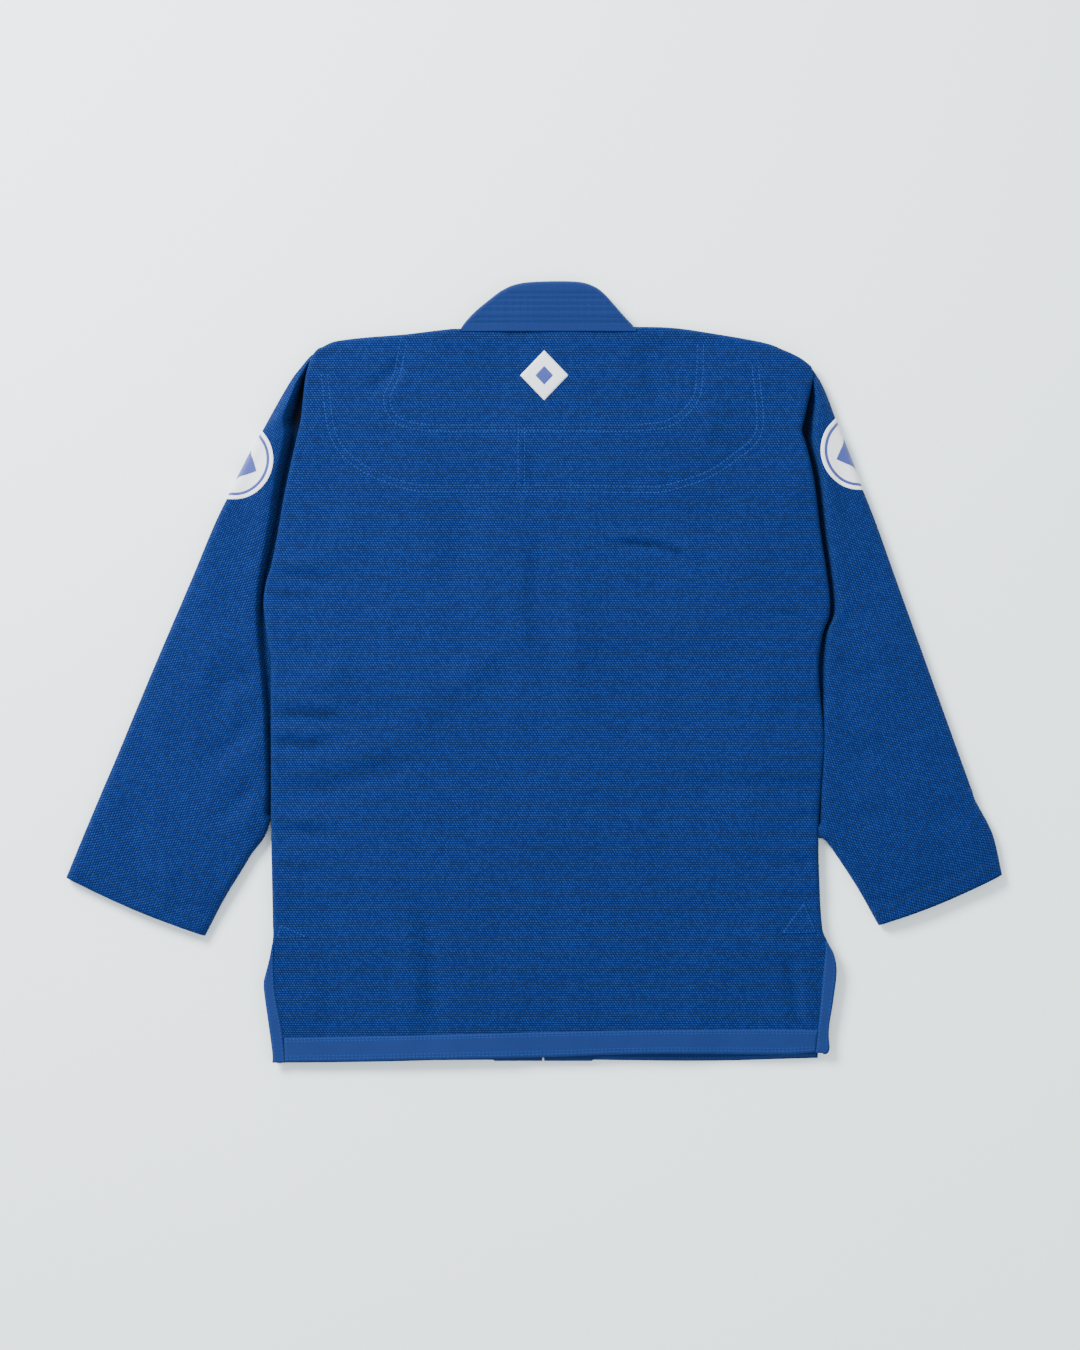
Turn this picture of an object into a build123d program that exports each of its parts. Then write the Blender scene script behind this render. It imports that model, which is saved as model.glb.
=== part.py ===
"""Judo and jiu-jitsu style jacket, lying face down, as an assembly of cloth pieces in millimetres.

+Z is up, away from the table; +Y points to the collar; the centre-back line is x = 0.
The left sleeve lies on -X. Both fronts lie on the table and the back lies over them.
"""
from build123d import *
import math
import os

os.makedirs("parts", exist_ok=True)

# Cloth and band sizes
CLOTH = 2.0             # woven cloth, one layer
TAPE = 1.2              # reinforcing tape
LAPEL_T = 7.0           # thickness of the padded front band
COLLAR_T = 9.0          # thickness of the padded collar band
COVER_T = 1.4           # cover cloth round the padding
LAPEL_W = 52.0          # width of the front band
HEM_W = 24.0            # depth of the hem tape
PART_GAP = 0.6          # space between two bodies along a fold line

# Heights of the layers above the table
BACK_MID = 15.5         # underside of the back at the centre
BACK_EDGE = 12.0        # underside of the back at the side seams
TAIL_MID = 13.5         # underside of the back skirt at the hem centre
TAIL_EDGE = 9.0         # underside of the back skirt at the hem corners
HALF_BACK = 290.0       # half width that BACK_EDGE is stated at
SLEEVE_T = 17.0         # thickness of a flattened sleeve
HEAD_LOW = 2.4          # underside of the sleeve head tucked into the body
HEAD_HIGH = 11.6        # top of the tucked sleeve head
FOLD_W = 2.5            # cloth width at a folded edge

# Lengths along the body
NECK_Y = 358.0          # neck seam
VENT_Y = -283.0         # fold line of the back skirt, at the top of the vents
HEM_Y = -400.0          # bottom edge
FRONT_HEM_Y = -404.0    # the fronts hang a little lower than the back
CUFF_L = 100.0          # length of sleeve that folds back
CENTRE_GAP = 6.0        # space between the two front bands
GAP_X = -6.0            # centre of that space
SPLIT_Y = 160.0         # height where the two bands meet below the neck
NECK_HALF = 92.0        # half width of the neck at its seam

# Edge of the back over each sleeve, from the shoulder down to the vent
LEFT_EDGE = [(-234, 343.5), (-242, 337), (-246, 329), (-256.5, 304), (-260, 272), (-272, 211),
             (-277, 179), (-288, 118), (-298, 70), (-292, 33), (-290, 12), (-290, -152)]
RIGHT_EDGE = [(254, 332), (262, 325), (266, 316), (268.5, 302), (266, 262), (276, 203),
              (283, 149), (292, 72), (285, 40), (283, 0), (286, -80), (283, -165)]
LEFT_VENT = (-288, -276)
RIGHT_VENT = (285, -262)
LEFT_SHOULDER = [(-92, 357.4), (-151, 353), (-222, 346)]
RIGHT_SHOULDER = [(90, 357.4), (165, 355), (221, 345)]

# Pivot of each sleeve at the shoulder tip, and the outline of each sleeve
LEFT_TIP = (-235, 340)
RIGHT_TIP = (255, 328)
LEFT_OUTER = [(-246, 333), (-257, 322), (-271, 302), (-298, 255), (-347, 160), (-504, -213)]
RIGHT_OUTER = [(267, 324), (275, 319), (290, 290), (306, 248), (340, 160), (473, -210)]
LEFT_INNER = [(-359, -274), (-338, -233), (-315, -197), (-296, -168), (-291.5, -150)]
RIGHT_INNER = [(344, -263), (328, -233), (314, -211), (297, -187), (287.5, -165)]
LEFT_CUFF_EDGE = [(-464, -232), (-397, -256)]
RIGHT_CUFF_EDGE = [(444, -220), (399, -238)]


def flat_piece(points, low, high):
    """A flat cloth piece with the outline given, from height low to height high."""
    with BuildPart() as piece:
        with BuildSketch(Plane.XY.offset(low)):
            with BuildLine():
                Polyline(*points, close=True)
            make_face()
        extrude(amount=high - low)
    return piece


def band_along(points, width, low, high):
    """A strip of the width given, to the left of a path of points, from low to high."""
    inner = shifted(points, width)
    return flat_piece(list(points) + inner[::-1], low, high)


def shifted(points, distance):
    """The path moved sideways to its left by a distance, with mitred corners."""
    moved = []
    for i, (x, y) in enumerate(points):
        before = points[max(i - 1, 0)]
        after = points[min(i + 1, len(points) - 1)]
        steps = []
        for a, b in ((before, (x, y)), ((x, y), after)):
            length = math.dist(a, b)
            if length > 0:
                steps.append((-(b[1] - a[1]) / length, (b[0] - a[0]) / length))
        nx = sum(s[0] for s in steps) / len(steps)
        ny = sum(s[1] for s in steps) / len(steps)
        scale = distance / (nx * nx + ny * ny)
        moved.append((x + nx * scale, y + ny * scale))
    return moved


def arched(points, y_low, y_high, low_section, high_section, thickness):
    """Cloth over the body: an arched sheet between two sections, cut to an outline.

    Each section is (underside at the centre, underside at the side seam).
    """
    reach = HALF_BACK + 25
    with BuildPart() as piece:
        for y, (mid, edge) in ((y_low, low_section), (y_high, high_section)):
            drop = (mid - edge) * (reach / HALF_BACK) ** 2
            with BuildSketch(Plane.XZ.offset(-y)):
                with BuildLine():
                    under = ThreePointArc((-reach, mid - drop), (0, mid), (reach, mid - drop))
                    Line(under @ 1, (reach, mid - drop + thickness))
                    over = ThreePointArc((reach, mid - drop + thickness), (0, mid + thickness),
                                         (-reach, mid - drop + thickness))
                    Line(over @ 1, under @ 0)
                make_face()
        loft(ruled=True)
        with BuildSketch(Plane.XY):
            with BuildLine():
                Polyline(*points, close=True)
            make_face()
        extrude(amount=60, mode=Mode.INTERSECT)
    return piece


def finish(piece, name):
    """Name a piece and write its file."""
    piece.part.label = name
    export_step(piece.part, f"parts/{name}.step")


# ---- Back of the body ----
BACK = (BACK_MID, BACK_EDGE)
TAIL = (TAIL_MID, TAIL_EDGE)
back_outline = (
    LEFT_SHOULDER + LEFT_EDGE + [LEFT_VENT, (-289, VENT_Y + PART_GAP / 2), (288, VENT_Y + PART_GAP / 2)]
    + [RIGHT_VENT] + RIGHT_EDGE[::-1] + RIGHT_SHOULDER[::-1]
)
back_panel = arched(back_outline, VENT_Y - 5, 370, BACK, BACK, CLOTH)
finish(back_panel, "back_panel")

# Second layer inside the yoke, between the two sleeve heads
yoke_outline = [(-150, 347), (-172, 289), (-143, 260), (-120, 254), (120, 254), (151, 284),
                (157, 342), (90, 350), (-90, 350)]
yoke_lining = arched(yoke_outline, 240, 370, (BACK_MID - TAPE, BACK_EDGE - TAPE),
                     (BACK_MID - TAPE, BACK_EDGE - TAPE), TAPE)
finish(yoke_lining, "yoke_lining")

# Twill tape across the inside of the neck
neck_tape = flat_piece([(-80, 338), (80, 338), (80, 349), (-80, 349)], 12.6, 13.9)
finish(neck_tape, "neck_tape")

# Embroidered emblem at the nape, a plain upright diamond
with BuildPart() as nape_emblem:
    with BuildSketch(Plane.XY.offset(BACK_MID + CLOTH)):
        with Locations((-5, 310)):
            Rectangle(37, 37, rotation=45)
    extrude(amount=0.9)
finish(nape_emblem, "nape_emblem")

# Small stitched triangles that hold the tops of the vents
left_vent_patch = flat_piece([(-285, -274), (-285, -252), (-251, -274)], 15.3, 16.3)
finish(left_vent_patch, "left_vent_patch")
right_vent_patch = flat_piece([(239, -271), (266, -237), (281, -270)], 15.7, 16.7)
finish(right_vent_patch, "right_vent_patch")

# ---- Back skirt below the vents, which folds up over the back ----
tail_outline = [(-288, VENT_Y - PART_GAP / 2), (-297, -323), (-292, -364), (-288, HEM_Y - 4),
                (-117, HEM_Y - 2), (106, HEM_Y + 4), (265, HEM_Y + 4), (289, HEM_Y + 8),
                (292, -370), (299, -307), (289, VENT_Y - PART_GAP / 2)]
back_panel_tail = arched(tail_outline, HEM_Y - 6, VENT_Y, TAIL, BACK, CLOTH)
finish(back_panel_tail, "back_panel_tail")

SLOPE = (BACK_MID - TAIL_MID) / (VENT_Y - HEM_Y + 6)


def lifted(section, rise):
    """A section of the back raised by a tape's thickness."""
    return (section[0] + rise, section[1] + rise)


hem_top = HEM_Y + HEM_W
hem_outline = [(-287, hem_top), (-288, HEM_Y - 3.5), (-117, HEM_Y - 1.5), (106, HEM_Y + 4.5),
               (265, HEM_Y + 4.5), (288, HEM_Y + 8.5), (289, hem_top + 3), (106, hem_top + 2)]
back_hem_tape = arched(hem_outline, HEM_Y - 6, VENT_Y, lifted(TAIL, CLOTH), lifted(BACK, CLOTH), TAPE)
finish(back_hem_tape, "back_hem_tape")

left_tape_line = [(-288, VENT_Y - 1), (-296.5, -323), (-291.5, -364), (-289, hem_top + 0.5)]
left_tape_outline = left_tape_line + [(-278, hem_top + 0.5), (-279, -364), (-286, -323), (-283, VENT_Y - 1)]
back_left_vent_tape = arched(left_tape_outline, HEM_Y - 6, VENT_Y, lifted(TAIL, CLOTH), lifted(BACK, CLOTH), TAPE)
finish(back_left_vent_tape, "back_left_vent_tape")

right_tape_line = [(288.5, VENT_Y - 1), (298.5, -307), (291.5, -370)]
right_tape_outline = right_tape_line + [(281, -371), (284, -342), (287, -307), (284, VENT_Y - 1)]
back_right_vent_tape = arched(right_tape_outline, HEM_Y - 6, VENT_Y, lifted(TAIL, CLOTH), lifted(BACK, CLOTH), TAPE)
finish(back_right_vent_tape, "back_right_vent_tape")

# ---- Collar band behind the neck, which folds up ----


def collar_outline(y_seam, inset):
    """Face of the band: straight along the neck seam, rounded over the top."""
    with BuildLine() as edge:
        seam = Line((90 - inset, y_seam), (-92 + inset, y_seam))
        left = ThreePointArc(seam @ 1, (-62 + inset * 0.8, 388 - inset * 0.8), (-22, 407 - inset))
        top = Line(left @ 1, (34, 407.5 - inset))
        ThreePointArc(top @ 1, (66 - inset * 0.8, 386 - inset * 0.8), seam @ 0)
    return edge.line


COLLAR_LOW = BACK_MID + CLOTH - COLLAR_T
with BuildPart() as collar_core:
    with BuildSketch(Plane.XY.offset(COLLAR_LOW + COVER_T)):
        with BuildLine():
            add(collar_outline(NECK_Y + 3, 4))
        make_face()
    extrude(amount=COLLAR_T - 2 * COVER_T)
with BuildPart() as collar_cover:
    with BuildSketch(Plane.XY.offset(COLLAR_LOW)):
        with BuildLine():
            add(collar_outline(NECK_Y + PART_GAP / 2, 0))
        make_face()
    extrude(amount=COLLAR_T)
    add(collar_core.part, mode=Mode.SUBTRACT)
finish(collar_core, "collar_core")
finish(collar_cover, "collar_cover")

# ---- Both sides of the body, the fronts and their bands ----
sides = {
    "left": dict(sign=-1, shoulder=LEFT_SHOULDER, edge=LEFT_EDGE, vent=LEFT_VENT, hinge_end=(-280, -276),
                 neck=(-NECK_HALF, NECK_Y), band_edge=GAP_X - CENTRE_GAP / 2),
    "right": dict(sign=1, shoulder=RIGHT_SHOULDER, edge=RIGHT_EDGE, vent=RIGHT_VENT, hinge_end=(276, -262),
                  neck=(90, NECK_Y), band_edge=GAP_X + CENTRE_GAP / 2),
}
for side, s in sides.items():
    g = s["sign"]
    nx, ny = s["neck"]
    hx, hy = s["hinge_end"]
    length = math.dist((nx, ny), (hx, hy))
    ux = (ny - hy) / length * PART_GAP / 2
    uy = (nx - hx) / length * PART_GAP / 2

    # Part of the front that stays with the side seam, outside the diagonal fold
    side_outline = (
        [(nx + g * ux * 1.2, ny - 1.5)] + s["shoulder"][1:] + s["edge"] + [s["vent"]]
        + [(hx + g * ux, hy)]
    )
    front_side = flat_piece(side_outline, 0, CLOTH)
    finish(front_side, f"{side}_front_side")

    # Seam down the side of the body, from the armpit to the vent
    seam_line = [p for p in s["edge"] if p[1] < 60] + [s["vent"]]
    seam_line = shifted(seam_line, -g * 0.7)
    side_seam = band_along(seam_line, -g * CLOTH, CLOTH, BACK_EDGE - 0.4)
    finish(side_seam, f"{side}_side_seam")

    # Seam over the shoulder, joining front to back
    shoulder_line = shifted(s["shoulder"] + [s["edge"][0]], -g * 0.5)
    shoulder_seam = band_along(shoulder_line, -g * CLOTH, CLOTH, BACK_EDGE + 0.2)
    finish(shoulder_seam, f"{side}_shoulder_seam")

    # Padded band down the front edge, straight below the neck split
    inner_x = s["band_edge"]
    top_outer = (nx - g * 1.5, ny - 1.5)
    mid_outer = (inner_x + g * LAPEL_W, SPLIT_Y)
    band_outline = [top_outer, mid_outer, (inner_x + g * LAPEL_W, FRONT_HEM_Y), (inner_x, FRONT_HEM_Y),
                    (inner_x, SPLIT_Y), (nx - g * LAPEL_W, ny - 1.5)]
    core_x = inner_x + g * 4
    core_outer = inner_x + g * (LAPEL_W - 4)
    core_outline = [(nx - g * 6, ny - 5.5), (core_outer, SPLIT_Y), (core_outer, FRONT_HEM_Y + 8),
                    (core_x, FRONT_HEM_Y + 8), (core_x, SPLIT_Y), (nx - g * (LAPEL_W - 5), ny - 5.5)]
    lapel_core = flat_piece(core_outline, COVER_T, LAPEL_T - COVER_T)
    finish(lapel_core, f"{side}_lapel_core")
    with BuildPart() as lapel:
        with BuildSketch(Plane.XY):
            with BuildLine():
                Polyline(*band_outline, close=True)
            make_face()
        extrude(amount=LAPEL_T)
        add(lapel_core.part, mode=Mode.SUBTRACT)
    finish(lapel, f"{side}_lapel")

    # Front cloth between the diagonal fold and the band
    skirt_x = hx + g * 7
    front_outline = [(nx - g * 1.6, ny - 4), (hx - g * ux, hy), (hx - g * ux, hy - 3),
                     (skirt_x, hy - 34), (skirt_x - g * 2, FRONT_HEM_Y),
                     (inner_x + g * LAPEL_W, FRONT_HEM_Y), mid_outer]
    front_panel = flat_piece(front_outline, 0, CLOTH)
    finish(front_panel, f"{side}_front_panel")

    # Tapes on the inside of the front skirt, and the patch that closes the band's end
    hem_tape = flat_piece([(inner_x + g * (LAPEL_W + 0.5), FRONT_HEM_Y), (skirt_x - g * 2, FRONT_HEM_Y),
                           (skirt_x - g * 2, FRONT_HEM_Y + HEM_W), (inner_x + g * (LAPEL_W + 0.5), FRONT_HEM_Y + HEM_W)],
                          CLOTH, CLOTH + TAPE)
    finish(hem_tape, f"{side}_front_hem_tape")
    vent_tape = flat_piece([(skirt_x - g * 2, FRONT_HEM_Y + HEM_W + 0.5), (skirt_x, hy - 34), (hx - g * 1, hy - 6),
                            (hx - g * 10, hy - 6), (skirt_x - g * 12, hy - 34),
                            (skirt_x - g * 14, FRONT_HEM_Y + HEM_W + 0.5)], CLOTH, CLOTH + TAPE)
    finish(vent_tape, f"{side}_front_vent_tape")
    end_patch = flat_piece([(inner_x + g * 1, FRONT_HEM_Y), (inner_x + g * (LAPEL_W - 1), FRONT_HEM_Y),
                            (inner_x + g * (LAPEL_W - 1), FRONT_HEM_Y + HEM_W), (inner_x + g * 1, FRONT_HEM_Y + HEM_W)],
                           LAPEL_T, LAPEL_T + TAPE)
    finish(end_patch, f"{side}_lapel_end_patch")

# ---- Sleeves, tucked under the edge of the back, and the ends that fold back ----
sleeves = {
    "left": dict(sign=-1, tip=LEFT_TIP, outer=LEFT_OUTER, inner=LEFT_INNER, edge=LEFT_EDGE, cuff=LEFT_CUFF_EDGE,
                 armpit=(-298, 70), patch=(-326, 223)),
    "right": dict(sign=1, tip=RIGHT_TIP, outer=RIGHT_OUTER, inner=RIGHT_INNER, edge=RIGHT_EDGE, cuff=RIGHT_CUFF_EDGE,
                  armpit=(292, 72), patch=(325, 234)),
}
TUCK = 24.0             # angle of cloth tucked under the back edge, in degrees
PATCH_R = 41.5          # radius of the round sleeve patch
for side, s in sleeves.items():
    g = s["sign"]
    ox, oy = s["outer"][-1]
    ix, iy = s["inner"][0]
    ax, ay = s["outer"][-2]
    run = math.dist((ox, oy), (ax, ay))
    dx = (ox - ax) / run
    dy = (oy - ay) / run
    # Fold line across the sleeve, square to its outer edge
    mid_cuff = ((ox + ix) / 2, (oy + iy) / 2)
    fold = (mid_cuff[0] - dx * CUFF_L, mid_cuff[1] - dy * CUFF_L)
    ends = {}
    for name, gap in (("sleeve", -PART_GAP / 2), ("cuff", PART_GAP / 2)):
        px, py = fold[0] + dx * gap, fold[1] + dy * gap
        # Outer end: along the fold line from its middle to the straight outer edge
        t = ((ox - px) * dx + (oy - py) * dy)
        outer_end = (ox - dx * t, oy - dy * t)
        # Inner end: where the fold line meets the inner edge
        inner_end = None
        for (x0, y0), (x1, y1) in zip(s["inner"], s["inner"][1:]):
            a = (x0 - px) * dx + (y0 - py) * dy
            b = (x1 - px) * dx + (y1 - py) * dy
            if a * b <= 0:
                f = a / (a - b)
                inner_end = (x0 + (x1 - x0) * f, y0 + (y1 - y0) * f)
        ends[name] = (outer_end, inner_end)

    # Edge of the body that the sleeve lies against, with a little room
    beside = shifted(s["edge"], g * 1.0)
    upper_edge = [p for p in beside[2:] if p[1] > s["armpit"][1] - 2]
    lower_edge = [p for p in beside[2:] if -120 < p[1] <= s["armpit"][1] - 2]
    sleeve_outline = (
        s["outer"][:-1] + [ends["sleeve"][0], ends["sleeve"][1]]
        + [p for p in s["inner"][1:] if (p[0] - fold[0]) * dx + (p[1] - fold[1]) * dy < -1]
        + lower_edge[::-1] + upper_edge[::-1]
    )
    sleeve_back = flat_piece(sleeve_outline, SLEEVE_T - CLOTH, SLEEVE_T)
    finish(sleeve_back, f"{side}_sleeve_back")
    sleeve_front = flat_piece(sleeve_outline, 0, CLOTH)
    finish(sleeve_front, f"{side}_sleeve_front")

    # Fold along the top of the sleeve, and the seam under the arm
    outer_line = s["outer"][1:-1] + [ends["sleeve"][0]]
    outer_fold = band_along(outer_line, -g * FOLD_W, CLOTH, SLEEVE_T - CLOTH)
    finish(outer_fold, f"{side}_sleeve_fold")
    inner_line = (
        [ends["sleeve"][1]]
        + [p for p in s["inner"][1:] if (p[0] - fold[0]) * dx + (p[1] - fold[1]) * dy < -1]
        + lower_edge[::-1]
    )
    underarm = band_along(inner_line, -g * FOLD_W, CLOTH, SLEEVE_T - CLOTH)
    finish(underarm, f"{side}_underarm_seam")

    # Sleeve head, the cloth tucked between back and front: two layers and the two steps
    tip = s["tip"]
    arm = upper_edge[-1]
    radius = min(math.dist(tip, arm), math.dist(tip, s["armpit"])) - 0.5
    start = math.degrees(math.atan2(arm[1] - tip[1], arm[0] - tip[0]))
    arc_points = []
    for k in range(0, 7):
        angle = math.radians(start - g * TUCK * k / 6)
        arc_points.append((tip[0] + radius * math.cos(angle), tip[1] + radius * math.sin(angle)))
    head_inner = (tip[0] + 12 * math.cos(math.radians(start - g * TUCK)),
                  tip[1] + 12 * math.sin(math.radians(start - g * TUCK)))
    head_line = upper_edge
    head_outline = head_line + arc_points[1:] + [head_inner]
    head_back = flat_piece(head_outline, HEAD_HIGH - CLOTH, HEAD_HIGH)
    head_front = flat_piece(head_outline, HEAD_LOW, HEAD_LOW + CLOTH)
    step_up = band_along(head_line, g * FOLD_W, HEAD_HIGH - CLOTH, SLEEVE_T - CLOTH)
    step_down = band_along(head_line, g * FOLD_W, CLOTH, HEAD_LOW + CLOTH)
    with BuildPart() as sleeve_head_back:
        add(head_back.part)
        add(step_up.part)
    finish(sleeve_head_back, f"{side}_sleeve_head_back")
    with BuildPart() as sleeve_head_front:
        add(head_front.part)
        add(step_down.part)
    finish(sleeve_head_front, f"{side}_sleeve_head_front")

    # Round woven patch on the upper arm, cut off where the sleeve folds under
    with BuildPart() as sleeve_patch:
        with BuildSketch(Plane.XY.offset(SLEEVE_T)):
            with Locations(s["patch"]):
                Circle(PATCH_R)
            with BuildLine():
                Polyline(*sleeve_outline, close=True)
            make_face(mode=Mode.INTERSECT)
        extrude(amount=TAPE)
    finish(sleeve_patch, f"{side}_sleeve_patch")

    # End of the sleeve, which folds back
    cuff_outline = [ends["cuff"][0], (ox, oy)] + s["cuff"] + [(ix, iy)]
    cuff_outline += [p for p in s["inner"][1:] if (p[0] - fold[0]) * dx + (p[1] - fold[1]) * dy > 1]
    cuff_outline += [ends["cuff"][1]]
    cuff_back = flat_piece(cuff_outline, SLEEVE_T - CLOTH, SLEEVE_T)
    finish(cuff_back, f"{side}_cuff_back")
    cuff_front = flat_piece(cuff_outline, 0, CLOTH)
    finish(cuff_front, f"{side}_cuff_front")
    cuff_fold = band_along([ends["cuff"][0], (ox, oy)], -g * FOLD_W, CLOTH, SLEEVE_T - CLOTH)
    finish(cuff_fold, f"{side}_cuff_fold")
    cuff_inner = [(ix, iy)] + [p for p in s["inner"][1:] if (p[0] - fold[0]) * dx + (p[1] - fold[1]) * dy > 1]
    cuff_seam = band_along(cuff_inner + [ends["cuff"][1]], -g * FOLD_W, CLOTH, SLEEVE_T - CLOTH)
    finish(cuff_seam, f"{side}_cuff_seam")

    # Turned hem inside the mouth of the sleeve
    mouth = [(ox - g * 3.5, oy - 1.5)] + s["cuff"] + [(ix + g * 3.5, iy + 1.5)]
    cuff_hem = band_along(mouth, -g * 18.0, SLEEVE_T - CLOTH - TAPE, SLEEVE_T - CLOTH)
    finish(cuff_hem, f"{side}_cuff_hem_tape")
    print(side, "fold", fold, "direction", (dx, dy), ends)
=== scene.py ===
"""Judo and jiu-jitsu style jacket, lying face down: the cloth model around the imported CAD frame."""
import math

import bpy
import numpy as np
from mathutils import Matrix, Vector
from mathutils.bvhtree import BVHTree


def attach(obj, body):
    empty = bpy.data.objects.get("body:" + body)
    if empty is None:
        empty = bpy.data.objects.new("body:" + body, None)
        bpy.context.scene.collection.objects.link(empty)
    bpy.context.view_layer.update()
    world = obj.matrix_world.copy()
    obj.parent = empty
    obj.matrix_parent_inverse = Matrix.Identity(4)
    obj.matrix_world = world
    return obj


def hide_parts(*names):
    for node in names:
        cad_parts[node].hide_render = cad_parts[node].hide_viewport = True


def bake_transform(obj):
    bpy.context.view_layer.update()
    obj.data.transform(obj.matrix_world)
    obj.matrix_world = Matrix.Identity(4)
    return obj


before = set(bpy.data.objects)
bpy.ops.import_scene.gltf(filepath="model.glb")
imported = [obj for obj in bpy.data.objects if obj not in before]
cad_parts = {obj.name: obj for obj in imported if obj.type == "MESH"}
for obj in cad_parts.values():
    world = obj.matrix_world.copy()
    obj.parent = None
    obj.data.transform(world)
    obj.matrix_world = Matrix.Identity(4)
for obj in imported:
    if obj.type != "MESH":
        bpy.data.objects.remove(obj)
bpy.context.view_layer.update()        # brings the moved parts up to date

MM = 0.001
TORSO, SKIRT, COLLAR = "torso", "back_skirt", "collar"

# ------------------------------------------------------------------ helpers


def gone_along(path):
    """The distance travelled along a path, at each of its points."""
    return np.concatenate([[0], np.cumsum(np.linalg.norm(np.diff(path, axis=0), axis=1))])


def points(*axes):
    """Grids of coordinates, one grid for each axis, as one list of points."""
    return np.stack(np.broadcast_arrays(*axes), axis=-1).reshape(-1, len(axes))


def normals(path):
    """The unit vector to the left of a path, at each of its points."""
    t = np.gradient(path, axis=0)
    t /= np.linalg.norm(t, axis=1)[:, None]
    return np.stack([-t[:, 1], t[:, 0]], axis=1)


def evened(values, times):
    """Averages each value with its neighbours, leaving the two ends."""
    for _ in range(times):
        values[1:-1] = (values[:-2] + 2 * values[1:-1] + values[2:]) / 4
    return values


def hermite(through, count):
    """count points on a smooth curve through the points given, evenly spaced along it."""
    p = np.array(through, float)
    if len(p) == 2:
        t = np.linspace(0, 1, count)[:, None]
        return p[0] * (1 - t) + p[1] * t
    ends = np.vstack([2 * p[0] - p[1], p, 2 * p[-1] - p[-2]])
    out = []
    for i in range(1, len(ends) - 2):
        a, b, c, d = ends[i - 1], ends[i], ends[i + 1], ends[i + 2]
        t = np.linspace(0, 1, 24, endpoint=False)[:, None]
        m1, m2 = (c - a) / 2, (d - b) / 2
        out.append((2 * t**3 - 3 * t**2 + 1) * b + (t**3 - 2 * t**2 + t) * m1
                   + (3 * t**2 - 2 * t**3) * c + (t**3 - t**2) * m2)
    out = np.vstack(out + [p[-1:]])
    gone = gone_along(out)
    want = np.linspace(0, gone[-1], count)
    return np.stack([np.interp(want, gone, out[:, k]) for k in range(out.shape[1])], axis=1)


def smooth(t):
    t = np.clip(t, 0, 1)
    return t * t * (3 - 2 * t)


def ripples(x, y, length, seed, count=9):
    """Soft random relief between about -1 and 1, with the wavelength given, the same in each run."""
    rng = np.random.default_rng(seed)
    total = np.zeros_like(x)
    for _ in range(count):
        turn, phase = rng.uniform(0, math.pi), rng.uniform(0, 2 * math.pi)
        k = 2 * math.pi / (length * rng.uniform(0.7, 1.5))
        total = total + np.sin(k * (x * math.cos(turn) + y * math.sin(turn)) + phase)
    return total / math.sqrt(count) * 0.8


def beside(path, x, y):
    """How far each point lies from a path, positive on its left, and how far along the path, from 0 to 1."""
    p = np.array(path, float)
    seg = np.linalg.norm(np.diff(p, axis=0), axis=1)
    total, gone = seg.sum(), 0.0
    best = np.full(np.shape(x), 1e9)
    side, share = np.zeros(np.shape(x)), np.zeros(np.shape(x))
    for (ax, ay), (bx, by), long in zip(p[:-1], p[1:], seg):
        ux, uy = (bx - ax) / long, (by - ay) / long
        t = np.clip((x - ax) * ux + (y - ay) * uy, 0, long)
        dx, dy = x - ax - t * ux, y - ay - t * uy
        far = np.hypot(dx, dy)
        near = far < best
        best = np.where(near, far, best)
        side = np.where(near, np.where(ux * dy - uy * dx < 0, -1.0, 1.0), side)
        share = np.where(near, (gone + t) / total, share)
        gone += long
    return best * side, share


def fold(x, y, path, width, height, lip=0.0, ends=0.25):
    """A ridge along a path, or a crease where height is below 0. lip is a bulge on its left."""
    d, t = beside(path, x, y)
    fade = 1.6 * smooth(t / ends) * smooth((1 - t) / ends)
    return fade * (height * bell(d, width) + lip * bell(d - 2.1 * width, 1.5 * width))


def bell(distance, width):
    """1 at distance 0, falling to 0 over a few widths."""
    return np.exp(-(distance / width) ** 2)


def make_mesh(name, verts, faces, cloth_uv=None, smooth_shade=True):
    """A mesh object from points in mm. cloth_uv gives each point's place on the flat cloth, in mm."""
    me = bpy.data.meshes.new(name)
    me.from_pydata((np.asarray(verts, float) * MM).tolist(), [], [list(map(int, f)) for f in faces])
    if cloth_uv is not None:
        uv = me.uv_layers.new(name="cloth")
        at = np.zeros(len(me.loops), np.int64)
        me.loops.foreach_get("vertex_index", at)
        uv.data.foreach_set("uv", (np.asarray(cloth_uv, float)[at] * MM).astype(np.float32).ravel())
    me.polygons.foreach_set("use_smooth", [smooth_shade] * len(me.polygons))
    me.validate()
    me.update()
    ob = bpy.data.objects.new(name, me)
    bpy.context.scene.collection.objects.link(ob)
    return ob


def grid_faces(rows, cols, wrap=False):
    """The quads of a grid of points, joined round if wrap is true."""
    found = []
    for low in range(0, (rows - 1) * cols, cols):
        for j in range(cols if wrap else cols - 1):
            k = (j + 1) % cols
            found.append((low + j, low + k, low + cols + k, low + cols + j))
    return found


def coons(left, right, bottom, top):
    """A grid of points filling four boundary curves. left and right run up; bottom and top run to +X."""
    nv, nu = len(left), len(bottom)
    u = np.linspace(0, 1, nu)[None, :, None]
    v = np.linspace(0, 1, nv)[:, None, None]
    side = (1 - u) * left[:, None, :] + u * right[:, None, :]
    rise = (1 - v) * bottom[None] + v * top[None]
    corner = (1 - u) * (1 - v) * left[0] + u * (1 - v) * right[0] + (1 - u) * v * left[-1] + u * v * right[-1]
    return side + rise - corner


def add_painted_shade(ob, values):
    """One value for each point, which darkens the cloth's colour there: painted shade that deepens the pleats by
    the body.
    """
    layer = ob.data.attributes.new("shade", "FLOAT", "POINT")
    layer.data.foreach_set("value", np.asarray(values, np.float32).ravel())


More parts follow.
